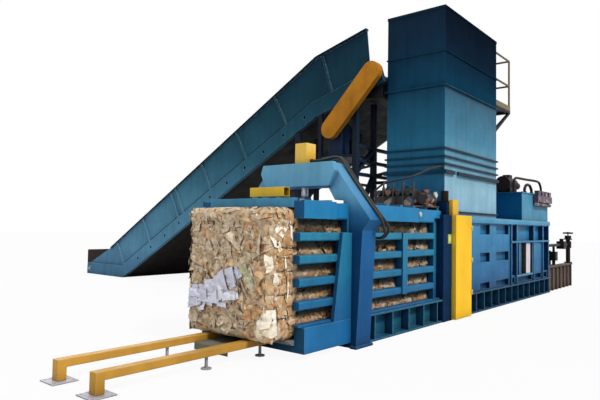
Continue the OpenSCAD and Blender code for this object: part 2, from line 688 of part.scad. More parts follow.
// Side wall of the press box: a thick wall with rows of pockets, ribs, and a window on the near side
pocket_rows = [[300, 400], [705, 847], [1121, 1275]];
pocket_cols = [[hopper_x0 + 822, hopper_x0 + 1211], [hopper_x0 + 1477, hopper_x1 + 59]];
window_x0 = ram_x0 + 427;
window_z0 = 430;
module press_wall(window) {
    rib_xs = [ram_x0 + 100, window_x0 - 60, window_x0 + window_l + 20, ram_x1 - 260, press_x1 - 50];
    difference() {
        span(tie_x1, press_x1, in_half, out_half, base_h, deck_bot);
        for (c = pocket_cols, r = pocket_rows)
            span(c[0], c[1], out_half - pocket_d, out_half + 1, r[0], r[1]);
        for (i = [0 : len(rib_xs) - 2])
            span(rib_xs[i] + 40, rib_xs[i + 1], out_half - pocket_d, out_half + 1, 1010, 1275);
        span(rib_xs[0] + 40, rib_xs[1], out_half - pocket_d, out_half + 1, 430, 980);
        span(rib_xs[3] + 40, rib_xs[4], out_half - pocket_d, out_half + 1, 430, 980);
        for (i = [0 : len(rib_xs) - 2])
            span(rib_xs[i] + 90, rib_xs[i + 1] - 50, out_half - pocket_d, out_half + 1, 310, 400);
        if (window) span(window_x0, window_x0 + window_l, in_half - 1, out_half + 1,
            window_z0, window_z0 + window_h);
        else span(window_x0, window_x0 + window_l, out_half - pocket_d, out_half + 1,
            window_z0, window_z0 + window_h);
    }
    if (window) span(window_x0 + 120, window_x0 + 240, in_half + 20, out_half,
        window_z0, window_z0 + window_h);
    for (x = rib_xs) span(x, x + 40, out_half, out_half + 24, base_h, deck_bot - 55);
    span(guard_x1 + 20, press_x1, out_half, frame_half, deck_bot - 55, deck_bot);
    span(ram_x0 + 100, press_x1, out_half, out_half + 30, 980, 1010);
}
module press_wall_near() color(blue) mirror([0, 1, 0]) press_wall(true);
module press_wall_far() color(blue) press_wall(false);
module press_deck() color(blue) {
    difference() {
        union() {
            span(hopper_x0, press_x1, -frame_half, frame_half, deck_bot, deck_top);
            span(tie_x1, hopper_x0, -out_half, out_half, deck_bot, deck_top);
        }
        span(hopper_x0 + sheet_t, hopper_x1 - sheet_t, -hopper_y + sheet_t, hopper_y - sheet_t,
            deck_bot - 1, deck_top + 1);
        span(tie_x1 - 1, guard_x1 + 20, out_half, frame_half + 1, deck_bot - 1, deck_top + 1);
        span(tie_x1 - 1, guard_x1 + 20, -frame_half - 1, -out_half, deck_bot - 1, deck_top + 1);
    }
}
module press_rear() color(blue) difference() {
    span(press_x1 - rear_t, press_x1, -in_half, in_half, floor_bot, deck_bot);
    bar_x(barrel_r + 0.5, press_x1 - rear_t - 1, press_x1 + 1, 0, cyl_z);
}

// Ram: a box open at the back, with a thick slotted platen in front
ram_half = in_half - ram_side_gap;
ram_top = deck_bot - knife_t - 3;
module shear_knife() color(steel)
    span(hopper_x0 - 52, hopper_x0 + sheet_t, -in_half, in_half, deck_bot - knife_t, deck_bot);
module ram() color(steel) difference() {
    span(ram_x0, ram_x1, -ram_half, ram_half, floor_top + slide_gap, ram_top);
    span(ram_x0 + platen_t, ram_x1 + 1, -ram_half + 25, ram_half - 25, floor_top + 25, ram_top - 25);
    for (i = [0 : slot_count - 1])
        span(ram_x0 - 1, ram_x0 + wire_slot_d, -ram_half - 1, ram_half + 1,
            slot_mid(i) - needle_h, slot_mid(i) + needle_h);
}
module ram_rod() color(steel) {
    bar_x(rod_r, ram_x0 + platen_t, piston_x1 - piston_t, 0, cyl_z);
    bar_x(piston_r, piston_x1 - piston_t, piston_x1, 0, cyl_z);
    bar_x(rod_r + 60, ram_x0 + platen_t, ram_x0 + platen_t + 40, 0, cyl_z);
}
module main_cylinder() color(dark_blue) translate([0, 0, cyl_z]) rotate([0, 90, 0])
    rotate_extrude() polygon([[rod_r + run_gap, barrel_x0], [barrel_r, barrel_x0], [barrel_r, press_x1],
        [flange_r, press_x1], [flange_r, press_x1 + flange_l], [barrel_r, press_x1 + flange_l],
        [barrel_r, barrel_x1], [0, barrel_x1], [0, piston_x1 + 5], [piston_r + run_gap, piston_x1 + 5],
        [piston_r + run_gap, barrel_x0 + gland_l], [rod_r + run_gap, barrel_x0 + gland_l]]);

// Rear frame under the cylinder: ribbed sides, cradle and end plate
rear_half = 620;
module rear_frame() color(brown) {
    cradle_x = barrel_x1 - 260;
    both_sides() {
        span(press_x1, rear_x1, rear_half - 10, rear_half, 0, rear_frame_h);
        for (x = [press_x1 + 60 : 280 : rear_x1 - 60])
            span(x, x + 50, rear_half, rear_half + 30, 0, rear_frame_h);
        span(press_x1, rear_x1, rear_half - 60, rear_half - 10, rear_frame_h - 60, rear_frame_h);
        span(press_x1, rear_x1, rear_half - 80, rear_half - 10, 0, 60);
        span(press_x1, rear_x1, rear_half, rear_half + 40, rear_frame_h - 40, rear_frame_h);
    }
    difference() {
        span(cradle_x, cradle_x + 80, -rear_half + 10, rear_half - 10, 60, rear_frame_h - 60);
        bar_x(barrel_r + 0.3, cradle_x - 1, cradle_x + 81, 0, cyl_z);
    }
    difference() {
        span(cradle_x, cradle_x + 80, -280, 280, rear_frame_h - 60, cyl_z - 10);
        bar_x(barrel_r + 0.3, cradle_x - 1, cradle_x + 81, 0, cyl_z);
    }
    span(rear_x1 - 40, rear_x1, -rear_half + 10, rear_half - 10, 60, rear_frame_h - 60);
}
// Pipe and valves on the rear frame
pipe_y = -600;
pipe_z = rear_frame_h + 400;
pipe_r = 30;
riser_x = rear_x1 - 100;
riser_r = 45;
wheel_z = rear_frame_h + 650;
gauge_x = riser_x - 1120;
stem_r = 12;
module rear_valves() color(black) {
    bar_x(pipe_r, press_x1, riser_x, pipe_y, pipe_z);
    for (x = [press_x1, riser_x - 650, riser_x - 420, riser_x - 70])
        bar_x(pipe_r + 32, x, x + 20, pipe_y, pipe_z);
    span(riser_x - 630, riser_x - 420, pipe_y - 75, pipe_y + 75, pipe_z - 85, pipe_z + 75);
    bar_z(40, pipe_z + 75, pipe_z + 130, riser_x - 525, pipe_y);
    bar_z(riser_r, rear_frame_h, wheel_z - 90, riser_x, pipe_y);
    bar_z(riser_r + 35, rear_frame_h, rear_frame_h + 20, riser_x, pipe_y);
    bar_z(riser_r + 22, pipe_z - 75, pipe_z + 70, riser_x, pipe_y);
    bar_z(riser_r + 40, wheel_z - 145, wheel_z - 120, riser_x, pipe_y);
    bar_z(riser_r + 22, wheel_z - 120, wheel_z - 55, riser_x, pipe_y);
    bar_z(stem_r, wheel_z - 100, wheel_z + 12, riser_x, pipe_y);
    span(gauge_x - 75, gauge_x + 75, pipe_y - 60, pipe_y + 60, rear_frame_h + 90, rear_frame_h + 270);
    bar_z(32, rear_frame_h, rear_frame_h + 90, gauge_x, pipe_y);
    bar_z(24, rear_frame_h + 270, pipe_z, gauge_x, pipe_y);
}
module valve_wheel() color(black) {
    translate([riser_x, pipe_y, wheel_z]) {
        rotate_extrude() translate([88, 0]) circle(18, $fn = 20);
        for (a = [0 : 90 : 270]) rotate([0, 90, a]) translate([0, 0, 20]) cylinder(r = 9, h = 62, $fn = 16);
        difference() {
            translate([0, 0, -15]) cylinder(r = 28, h = 40);
            translate([0, 0, -16]) cylinder(r = stem_r + run_gap, h = 30);
        }
    }
}

// Oil tank with lid, motors, pipes and valves
tank_x1 = press_x1 - 10;
tank_x0 = tank_x1 - tank_l;
tank_top = deck_top + tank_h;
lid_t = 15;
module oil_tank() color(blue) {
    span(tank_x0, tank_x1, -out_half, out_half, deck_top, tank_top - lid_t);
    span(tank_x0 - 12, tank_x1 + 12, -out_half - 12, out_half + 12, tank_top - lid_t, tank_top);
    for (x = [tank_x0 + 380, tank_x0 + 900]) bar_z(170, tank_top, tank_top + 12, x, 380);
}
module pump_motor(y) {
    z = tank_top + 165;
    bar_x(125, tank_x0 + 120, tank_x0 + 560, y, z);
    bar_x(135, tank_x0 + 80, tank_x0 + 130, y, z);
    bar_x(90, tank_x0 + 560, tank_x0 + 700, y, z);
    bar_x(65, tank_x0 + 700, tank_x0 + 860, y, z);
    span(tank_x0 + 160, tank_x0 + 520, y - 110, y + 110, tank_top, z - 60);
    span(tank_x0 + 260, tank_x0 + 420, y - 60, y + 60, z + 100, z + 170);
}
module pump_motors() color(black) for (y = [-280, 60]) pump_motor(y);
module flanged_pipe(points, r) {
    tube(points, r, 3);
    for (q = [points[0], points[len(points) - 1]]) bar_z(r + 14, tank_top, q[2] + 20, q[0], q[1]);
}
module tank_pipes() color(brown) {
    x0 = tank_x0 + 80;
    x1 = tank_x0 + 1280;
    flanged_pipe([[x0, -480, tank_top + 6], [x0, -480, tank_top + 150], [x0 + 30, -485, tank_top + 235],
        [x0 + 140, -490, tank_top + 265], [x0 + 540, -520, tank_top + 265],
        [x1 - 280, -570, tank_top + 265], [x1 - 100, -590, tank_top + 245],
        [x1 - 20, -600, tank_top + 150], [x1, -600, tank_top + 60], [x1, -600, tank_top + 6]], 22);
    flanged_pipe([[x0 + 250, -590, tank_top + 6], [x0 + 255, -590, tank_top + 80],
        [x0 + 350, -592, tank_top + 150], [x0 + 520, -592, tank_top + 150],
        [x0 + 620, -594, tank_top + 80], [x0 + 625, -594, tank_top + 6]], 26);
}
module tank_valves() color(steel) {
    x0 = tank_x0 + 620;
    y = -out_half;
    span(x0, x0 + 900, y - 90, y - 12, tank_top - 150, tank_top - 30);
    span(x0 + 40, x0 + 860, y - 12, y, tank_top - 140, tank_top - 40);
    for (i = [0 : 3]) translate([x0 + i * 220, y, tank_top]) {
        span(40, 180, -88, -14, -30, 60);
        bar_x(32, 10, 210, -50, -190);
        span(90, 130, -70, -30, -160, -149);
    }
}

// Valve bank on the channel roof in front of the hopper: manifold, valves with coils, a small pump
// with its motor, an accumulator and a gauge
bank_x0 = tie_x0 - 220;
bank_z = roof_top + 40;
bank_y0 = -380;
bank_pitch = 148;
bank_top = bank_z + 150;
module valve_bank() color(black) {
    translate([bank_x0, 0, bank_z]) {
        span(-60, 300, -600, 280, 0, 20);
        span(0, 200, bank_y0, 220, 20, 150);
        for (i = [0 : 3]) translate([0, bank_y0 + 10 + i * bank_pitch, 0]) {
            span(20, 170, 0, 95, 150, 235);
            bar_x(36, -50, 20, 47, 192);
            bar_x(36, 170, 240, 47, 192);
            bar_z(24, 235, 265, 95, 47);
        }
        span(60, 160, -575, -480, 20, 40);
        bar_x(72, -20, 230, -525, 110);
        bar_x(50, 230, 290, -525, 110);
        bar_z(48, 20, 240, 255, -425);
        bar_z(9, 20, 150, 190, -590);
        bar_y(36, -608, -572, 190, 165);
    }
}
function small_hose(y, h) = [[bank_x0 + 95, y, bank_z + 270], [bank_x0 + 95, y, bank_z + 270 + h / 2],
    [bank_x0 + 50, y - bank_pitch / 4, bank_z + 270 + h],
    [bank_x0 - 30, y - bank_pitch / 2, bank_z + 250 + h / 2],
    [bank_x0 - 45, y - bank_pitch / 2, bank_z + 100], [bank_x0 - 45, y - bank_pitch / 2, bank_z + 26]];
function side_hose(y, h) = [[bank_x0 + 215, y, bank_z + 26], [bank_x0 + 215, y, bank_z + 120],
    [bank_x0 + 225, y - bank_pitch * 0.3, bank_z + 200 + h],
    [bank_x0 + 235, y - bank_pitch * 0.7, bank_z + 200 + h],
    [bank_x0 + 255, y - bank_pitch, bank_z + 120], [bank_x0 + 255, y - bank_pitch, bank_z + 26]];
hopper_port = [hopper_x0, -430, seam_z - 1169];
module bank_hoses() color(black) {
    for (i = [0 : 3]) {
        y = bank_y0 + 57 + i * bank_pitch;
        tube(small_hose(y, 60 + 25 * (i % 2)), 11);
        bar_z(17, bank_z + 265, bank_z + 285, bank_x0 + 95, y);
        bar_z(17, bank_z + 20, bank_z + 45, bank_x0 - 40, y - bank_pitch / 2);
    }
    for (y = [bank_y0 + 57 + 1.5 * bank_pitch, bank_y0 + 57 + 3.5 * bank_pitch]) {
        tube(side_hose(y, 75), 12);
        bar_z(14, bank_z + 20, bank_z + 45, bank_x0 + 215, y);
        bar_z(18, bank_z + 20, bank_z + 45, bank_x0 + 255, y - bank_pitch);
    }
    // The long hose to the hopper's front face
    tube([[bank_x0 + 20, 200, bank_top + 6], [bank_x0 + 20, 200, bank_top + 90],
        [bank_x0 + 60, 60, bank_top + 190], [bank_x0 + 160, -200, bank_top + 250],
        [bank_x0 + 320, -307, bank_top + 322], [hopper_x0 - 250, -380, hopper_port[2] - 35],
        [hopper_x0 - 100, -420, hopper_port[2] - 5], [hopper_x0 - 12, -430, hopper_port[2]]], 15);
    bar_z(22, bank_top, bank_top + 30, bank_x0 + 20, 200);
    bar_x(24, hopper_x0 - 30, hopper_x0, hopper_port[1], hopper_port[2]);
}

// Feed hopper
rib_p = 25;
seam_p = 30;
module hopper_shell(z0, z1) difference() {
    span(hopper_x0, hopper_x1, -hopper_y, hopper_y, z0, z1);
    span(hopper_x0 + sheet_t, hopper_x1 - sheet_t, -hopper_y + sheet_t, hopper_y - sheet_t, z0 - 1, z1 + 1);
}
module hopper_band(z0, z1, p) difference() {
    span(hopper_x0 - p, hopper_x1 + p, -hopper_y - p, hopper_y + p, z0, z1);
    span(hopper_x0 + 1, hopper_x1 - 1, -hopper_y + 1, hopper_y - 1, z0 - 1, z1 + 1);
}
module hopper_lower() color(blue) {
    hopper_shell(deck_top, seam_z);
    hopper_band(seam_z - 14, seam_z, seam_p);
    for (z = [seam_z - 899, seam_z - 1015, seam_z - 1120]) hopper_band(z - 12, z + 12, rib_p);
    difference() {
        hopper_band(seam_z - 1255, seam_z - 1205, rib_p + 10);
        span(hopper_x0 + 290, hopper_x0 + 400, -hopper_y - 60, 0, seam_z - 1256, seam_z - 1204);
    }
    hopper_band(roof_top + 2, roof_top + 22, rib_p);
}
door_z0 = platform_z + 30;
door_h = hopper_top - door_rim - door_z0;
door_grip_z = door_z0 + door_h * 0.48;
door_hinge_zs = [door_z0 + 100, door_z0 + door_h - 130];
feed_z0 = seam_z + 101;
feed_x = hopper_l - 200;
module hopper_upper() color(dark_blue) {
    difference() {
        union() {
            hopper_shell(seam_z, hopper_top);
            hopper_band(seam_z, seam_z + 14, seam_p);
            hopper_band(hopper_top - 40, hopper_top, 6);
            hopper_band(seam_z + 480, seam_z + 500, 12);
        }
        span(hopper_mid - feed_x / 2, hopper_mid + feed_x / 2, 0, hopper_y + 60, feed_z0, hopper_top - 122);
        span(hopper_x1 - sheet_t - 1, hopper_x1 + 60, -door_w / 2, door_w / 2, door_z0, door_z0 + door_h);
        span(hopper_x1, hopper_x1 + 60, -door_w / 2 - 14, door_w / 2 + 16,
            door_z0 - 12, door_z0 + door_h + 14);
    }
    for (z = door_hinge_zs) difference() {
        union() {
            bar_z(14, z, z + 30, hopper_x1 + 16, -door_w / 2 - 30);
            span(hopper_x1, hopper_x1 + 8, -door_w / 2 - 60, -door_w / 2 - 30, z, z + 30);
        }
        bar_z(8, z - 1, z + 31, hopper_x1 + 16, -door_w / 2 - 30);
    }
}
module tower_door() color(dark_blue) {
    hy = -door_w / 2 - 30;
    hx = hopper_x1 + 16;
    difference() {
        span(hopper_x1 + 10, hopper_x1 + 16, -door_w / 2 - 10, door_w / 2 + 12,
            door_z0 - 8, door_z0 + door_h + 10);
        for (z = door_hinge_zs)
            span(hopper_x1, hopper_x1 + 20, hy, -door_w / 2 - 4, z - 2, z + 32);
    }
    span(hopper_x1 + 16, hopper_x1 + 40, -door_w / 2 + 20, door_w / 2 - 20,
        door_grip_z - 15, door_grip_z + 15);
    for (z = door_hinge_zs) {
        bar_z(14, z + 31, z + 61, hx, hy);
        span(hx - 6, hx, hy, -door_w / 2 + 20, z + 33, z + 59);
        bar_z(8 - run_gap, z + 1, z + 32, hx, hy);
    }
    for (z = [door_grip_z - 45, door_grip_z + 45])
        bar_x(9, hopper_x1 + 16, hopper_x1 + 60, door_w / 2 - 60, z);
    bar_z(9, door_grip_z - 54, door_grip_z + 54, hopper_x1 + 60, door_w / 2 - 60);
}

// Service platform and hand rail on the hopper's rear face
plat_x0 = hopper_x1;
plat_x1 = hopper_x1 + platform_l;
plat_y0 = -hopper_y;
plat_y1 = hopper_y - 84;
tube_r = 17;
module service_platform() color(steel) {
    span(plat_x0, plat_x1, plat_y0, plat_y1, platform_z - 8, platform_z);
    for (y = [plat_y0, plat_y1 - 50]) {
        span(plat_x0, plat_x1, y, y + 50, platform_z - 45, platform_z - 8);
        along_y(y, y + 50) polygon([[plat_x0, platform_z - 460], [plat_x0, platform_z - 400],
            [plat_x1 - 60, platform_z - 45], [plat_x1 - 5, platform_z - 45]]);
    }
    span(plat_x1 - 50, plat_x1, plat_y0 + 50, plat_y1 - 50, platform_z - 45, platform_z - 8);
}
module platform_railing() color([0.72, 0.66, 0.55]) {
    rx = plat_x1 - tube_r;
    ys = [plat_y0 + tube_r, plat_y1 - tube_r];
    for (y = ys) bar_z(tube_r, platform_z, platform_z + rail_h, rx, y);
    for (z = [platform_z + rail_h, platform_z + rail_h / 2]) {
        bar_y(tube_r, ys[0], ys[1], rx, z);
        bar_x(tube_r, plat_x0, rx, ys[0], z);
    }
    for (y = ys) translate([rx, y, platform_z + rail_h]) sphere(tube_r, $fn = 32);
    difference() {
        span(plat_x0, plat_x1, plat_y0, plat_y1, platform_z, platform_z + 90);
        span(plat_x0 - 1, plat_x1 - 5, plat_y0 + 5, plat_y1 + 1, platform_z - 1, platform_z + 91);
    }
}

// Conveyor sides: box beam with holes, sheet wall, ribs and top rim
function on_slope(s, h) = low_p + s * seg(1) + h * up(1);
wall_start = on_slope(-176, cwall_low);
wall_bend = bend_p + [-30, cwall_high + 100];
wall_head = head_p + [140, cwall_high];
wall_foot = head_p + [70, 110];
wall_tip = [tail_end_y - 50, 2 * cbeam_half];
module beam_outline() {
    e = head_p + beam_end * seg(2);
    polygon([[tail_end_y, 0], corner(1, -cbeam_half), corner(2, -cbeam_half), e - cbeam_half * up(2),
        e + cbeam_half * up(2), corner(2, cbeam_half), corner(1, cbeam_half), [tail_end_y, 2 * cbeam_half]]);
}
module wall_outline() polygon([wall_tip, wall_start, wall_bend, wall_head, wall_foot,
    corner(2, cbeam_half), corner(1, cbeam_half)]);
module rim_outline() polygon([wall_start, wall_bend, wall_head, wall_head - [0, 30],
    wall_bend - [0, 34], wall_start - [0, 34]]);
// Rib square to the belt line at distance s along part i of it
module wall_rib(i, s, h) {
    a = belt_line[i] + (s - 20) * seg(i) + (cbeam_half - 1) * up(i);
    b = a + 40 * seg(i);
    polygon([a, b, b + h * up(i), a + h * up(i)]);
}
slope_l = norm(bend_p - low_p);
wall_gain = ((wall_bend - bend_p) * up(1) - cwall_low) / slope_l;
function rib_len(s) = cwall_low + s * wall_gain - cbeam_half - 12;
crib_s0 = 109;
crib_count = floor((slope_l - crib_s0 - 200) / crib_pitch);
chole_s0 = 675;
chole_count = floor((slope_l - chole_s0) / chole_pitch);
closed_hole = 4;   // no hole where the truss stands
module conveyor_side() {
    difference() {
        along_x(0, cbeam_w) beam_outline();
        for (i = [0 : chole_count]) if (i != closed_hole) {
            c = on_slope(chole_s0 + i * chole_pitch, 0);
            bar_x(26, -1, cbeam_w + 1, c[0], c[1]);
        }
        bar_x(cshaft_r + run_gap, -1, cbeam_w + 1, head_p[0], head_p[1]);
        bar_x(cshaft_r + run_gap, -1, cbeam_w + 1, tail_p[0], tail_p[1]);
    }
    along_x(cbeam_w - 40, cbeam_w - 40 + cwall_t) wall_outline();
    along_x(10, cbeam_w - 5) rim_outline();
    along_x(15, cbeam_w - 40) {
        for (i = [0 : crib_count])
            wall_rib(1, crib_s0 + i * crib_pitch, rib_len(crib_s0 + i * crib_pitch));
        wall_rib(1, crib_s0 + 2 * crib_pitch + 170, rib_len(crib_s0 + 2 * crib_pitch));
        wall_rib(2, 417, cwall_high - cbeam_half - 10);
    }
    for (p = [head_p, tail_p]) difference() {
        span(-26, 0, p[0] - 70, p[0] + 70, p[1] - 70, p[1] + 70);
        bar_x(cshaft_r + run_gap, -27, 1, p[0], p[1]);
    }
}
module conveyor_side_near() color(blue) translate([cx0, 0, 0]) conveyor_side();
module conveyor_side_far() color(blue) translate([cx1, 0, 0]) mirror([1, 0, 0]) conveyor_side();
// Tray between the head drum and the hopper, for what falls off the belt
module head_tray() {
    x0 = cx0 + cbeam_w;
    x1 = cx1 - cbeam_w;
    y0 = hopper_y;
    y1 = head_p[0] + 250;
    z0 = seam_z - 90;
    z1 = under_z(y1) - 52;
    along_x(x0, x1) polygon([[y1, z1 - 8], [y1, z1], [y0, z0], [y0, z0 - 8]]);
    for (x = [x0, x1 - 8]) along_x(x, x + 8)
        polygon([[y1, z1], [y1, under_z(y1) + 40], [y0, under_z(y0) + 40], [y0, z0]]);
}
// Pan under the belt, with the end wall of the low end
module conveyor_pan() color(dark_blue) {
    d = cbeam_half;
    e = head_p - 300 * seg(2);
    along_x(cx0 + cbeam_w, cx1 - cbeam_w) polygon([[tail_end_y, 0], corner(1, -d), corner(2, -d),
        e - d * up(2), e + (5 - d) * up(2), corner(2, 5 - d), corner(1, 5 - d), [tail_end_y, 5]]);
    span(cx0, cx1, tail_end_y, tail_end_y + 12, 0, 560);
    head_tray();
}

// Belt: a closed loop over both drums with cleats all round
module belt_band(r) {
    strip(-r, r);
    translate(tail_p) circle(r);
    translate(head_p) circle(r);
}
module cleats(i) {
    n = floor((norm(belt_line[i + 1] - belt_line[i]) - 160) / cleat_pitch);
    for (k = [0 : n], s = [-1, 1]) {
        p = belt_line[i] + (100 + k * cleat_pitch) * seg(i) + s * (belt_r - 1) * up(i);
        u = 4 * seg(i);
        v = s * (cleat_h + 1) * up(i);
        polygon([p - u, p + u, p + u + v, p - u + v]);
    }
}
module conveyor_belt() color(black) along_x(cx0 + cbeam_w + 40, cx1 - cbeam_w - 40) {
    difference() {
        union() {
            belt_band(belt_r);
            for (i = [0 : 2]) cleats(i);
        }
        belt_band(belt_r - belt_t);
    }
}
module drum_shaft(p, x0) {
    bar_x(cshaft_r, x0, cx1 + 20, p[0], p[1]);
    bar_x(drum_r, cx0 + cbeam_w + 40, cx1 - cbeam_w - 40, p[0], p[1]);
}
// Chain wheel with rounded gaps between its teeth, drawn in Y and Z
module chain_wheel(r, teeth) difference() {
    circle(r);
    for (i = [0 : teeth - 1]) rotate(i * 360 / teeth) translate([r + 1, 0]) circle(9, $fn = 16);
}
motor_shaft_r = 30;
wheel_x0 = guard_x0 + 35;
wheel_w = 30;
module head_shaft() color(steel) {
    drum_shaft(head_p, wheel_x0 - 10);
    along_x(wheel_x0, wheel_x0 + wheel_w) translate(head_p) chain_wheel(big_wheel_r, 28);
}
module tail_shaft() color(steel) drum_shaft(tail_p, cx0 - 20);
module drive_sprocket() color(steel) {
    bar_x(motor_shaft_r, wheel_x0 - 10, cx0 + 90, motor_p[0], motor_p[1]);
    along_x(wheel_x0, wheel_x0 + wheel_w) translate(motor_p) chain_wheel(small_wheel_r, 17);
}

// Outline round both chain wheels at distance e, with straight tangent runs
chain_v = head_p - motor_p;
chain_a = atan2(chain_v[1], chain_v[0]);
function tangent_a(r0, r1) = acos((r0 - r1) / norm(chain_v));
module wheel_band(r0, r1) {
    a = tangent_a(r0, r1);
    translate(motor_p) circle(r0);
    translate(head_p) circle(r1);
    polygon([for (s = [-1, 1], q = s < 0 ? [0, 1] : [1, 0])
        let (c = q == 0 ? motor_p : head_p, r = q == 0 ? r0 : r1)
        c + r * [cos(chain_a + s * a), sin(chain_a + s * a)]]);
}
module drive_chain() color(black) along_x(wheel_x0 + 4, wheel_x0 + wheel_w - 4) difference() {
    wheel_band(small_wheel_r + 19, big_wheel_r + 19);
    wheel_band(small_wheel_r + slide_gap, big_wheel_r + slide_gap);
}
guard_top = head_p + 70 * unit(chain_v);
module guard_band(r) {
    n = r * [cos(chain_a + 90), sin(chain_a + 90)];
    translate(motor_p) circle(r);
    translate(guard_top) circle(r);
    polygon([motor_p - n, guard_top - n, guard_top + n, motor_p + n]);
}
module chain_guard() color(orange) {
    difference() {
        along_x(guard_x0, guard_x0 + guard_w) guard_band(chain_guard_r);
        along_x(guard_x0 + 5, guard_x0 + guard_w - 5) guard_band(chain_guard_r - 5);
        bar_x(cshaft_r + 6, guard_x0 + 50, guard_x0 + guard_w + 1, head_p[0], head_p[1]);
        bar_x(motor_shaft_r + 6, guard_x0 + 50, guard_x0 + guard_w + 1, motor_p[0], motor_p[1]);
    }
    for (c = [motor_p - [0, 100], motor_p + 0.8 * chain_v])
        span(guard_x0 + guard_w, cx0, c[0] - 20, c[0] + 20, c[1] - 20, c[1] + 20);
}

// Drive platform between the truss and the beam, and the gear motor on it
module drive_platform() {
    y1 = leg_y + 740;
    span(cx0, cx0 + 620, leg_y + leg_w, y1, platform2_z - 40, platform2_z);
    along_x(cx0, cx0 + 60) polygon([[y1 - 60, platform2_z], [y1, platform2_z], [y1, under_z(y1)],
        [y1 - 60, under_z(y1 - 60)]]);
}
module gear_motor() color(blue) {
    difference() {
        span(cx0, cx0 + 230, motor_p[0] - 120, motor_p[0] + 120, platform2_z + 20, motor_p[1] + 110);
        bar_x(motor_shaft_r + run_gap, cx0 - 1, cx0 + 92, motor_p[0], motor_p[1]);
    }
    span(cx0 + 5, cx0 + 600, motor_p[0] - 150, motor_p[0] + 150, platform2_z, platform2_z + 20);
    bar_x(110, cx0 + 230, cx0 + 600, motor_p[0], motor_p[1] - 60);
    bar_x(118, cx0 + 560, cx0 + 620, motor_p[0], motor_p[1] - 60);
    span(cx0 + 330, cx0 + 480, motor_p[0] - 90, motor_p[0] + 90, platform2_z + 20, motor_p[1] - 150);
    span(cx0 + 340, cx0 + 460, motor_p[0] - 50, motor_p[0] + 50, motor_p[1] + 40, motor_p[1] + 90);
}

// Support truss of the conveyor head: two braced frames and the ties between them
module brace(x0, z0, x1, z1, w) {
    v = unit([x1 - x0, z1 - z0]);
    n = [-v[1], v[0]] * w / 2;
    a = [x0, z0];
    b = [x1, z1];
    polygon([a - n, b - n, b + n, a + n]);
}
module truss_frame(y, top) along_y(y, y + leg_w) {
    xm = cx0 + 510;
    for (x = [cx0, cx1 - leg_w]) translate([x, 0]) square([leg_w, top]);
    translate([xm, 0]) square([60, top - 30]);
    for (z = [truss_base_z, truss_low_z, truss_mid_z, truss_top_z])
        translate([cx0 + 1, z]) square([conveyor_w - 2, 45]);
    brace(cx0 + leg_w / 2, truss_low_z + 30, xm + 30, truss_top_z + 20, 40);
    brace(xm + 30, truss_low_z + 20, cx1 - leg_w / 2, truss_top_z + 20, 40);
    brace(cx0 + leg_w / 2, truss_base_z + 20, xm + 30, truss_low_z + 20, 40);
}
module support_truss() color(dark_blue) {
    bend = corner(2, -cbeam_half);
    slope_z = bend[1] - (leg2_y + leg_w - bend[0]) * seg(1)[1] / -seg(1)[0];
    truss_frame(leg_y, under_z(leg_y + leg_w));
    truss_frame(leg2_y, slope_z);
    for (x = [cx0, cx1 - leg_w], z = [truss_base_z - 250, truss_mid_z - 150])
        span(x + 10, x + leg_w - 10, leg_y + leg_w, leg2_y, z, z + 60);
    drive_platform();
}
// Bale rails in front of the machine, their feet, and the tray between them
rail_x0 = base_x0 - bale_rail_l;
rail_x1 = base_x0 - 60;
rail_d = 60;
foot_t = 10;
mid_foot_x = (rail_x0 + rail_x1) / 2 + 160;
tray_x0 = rail_x1 - 430;
module bale_rails() color(gold) both_sides() translate([0, bale_rail_y, 0])
    along_y(-bale_rail_w / 2, bale_rail_w / 2) {
        translate([rail_x0, floor_top - rail_d]) square([rail_x1 - rail_x0, rail_d]);
        translate([rail_x0, foot_t]) square([70, floor_top - foot_t - 1]);
    }
module rail_feet() color(steel) both_sides() {
    x = rail_x0 + 35;
    w = foot_w / 2;
    difference() {
        span(x - w, x + w, bale_rail_y - w, bale_rail_y + w, 0, foot_t);
        for (i = [-1, 1], j = [-1, 1])
            bar_z(9, -1, foot_t + 1, x + i * foot_pitch / 2, bale_rail_y + j * foot_pitch / 2);
    }
    for (x = [mid_foot_x, rail_x1 - 60]) {
        bar_z(14, foot_t, floor_top - rail_d, x, bale_rail_y);
        bar_z(45, 0, foot_t, x, bale_rail_y);
    }
}
module rail_tray() color([0.55, 0.56, 0.53]) {
    y = bale_rail_y - bale_rail_w / 2;
    span(tray_x0, rail_x1, -y, y, floor_top - rail_d, floor_top - rail_d + 4);
    span(tray_x0, tray_x0 + 4, -y, y, floor_top - rail_d - 60, floor_top - rail_d);
}
module bale(x0, x1) color(board)
    along_x(x0, x1) translate([0, floor_top]) round_rect(bale_w, bale_h, bale_edge_r);
module bale_front() bale(mouth_x - bale_out, mouth_x - bale_out + bale_l);
module bale_next() bale(mouth_x - bale_out + bale_l + 4, next_bale_x1);

base_frame();
channel_floor();
channel_wall_near();
channel_wall_far();
channel_roof();
clamp_roof();
roof_cross_bar();
portal_frame();
clamp_cylinder();
cylinder_cover();
clamp_rod();
portal_hoses();
tying_frame();
wire_guard();
guard_hinges();
wire_box();
wire_guide_bar();
twister_shaft();
twister_motor();
needle_carriage();
needle_frame();
press_wall_near();
press_wall_far();
press_deck();
press_rear();
shear_knife();
ram();
ram_rod();
main_cylinder();
rear_frame();
rear_valves();
valve_wheel();
oil_tank();
pump_motors();
tank_pipes();
tank_valves();
valve_bank();
bank_hoses();
hopper_lower();
hopper_upper();
tower_door();
service_platform();
platform_railing();
conveyor_side_near();
conveyor_side_far();
conveyor_pan();
conveyor_belt();
head_shaft();
tail_shaft();
gear_motor();
drive_sprocket();
drive_chain();
chain_guard();
support_truss();
bale_rails();
rail_feet();
rail_tray();
bale_front();
bale_next();
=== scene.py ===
"""Looks of the recycling baler. Every piece is made in metres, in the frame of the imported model."""
import bpy
import math
import random
from mathutils import Matrix, Vector, noise


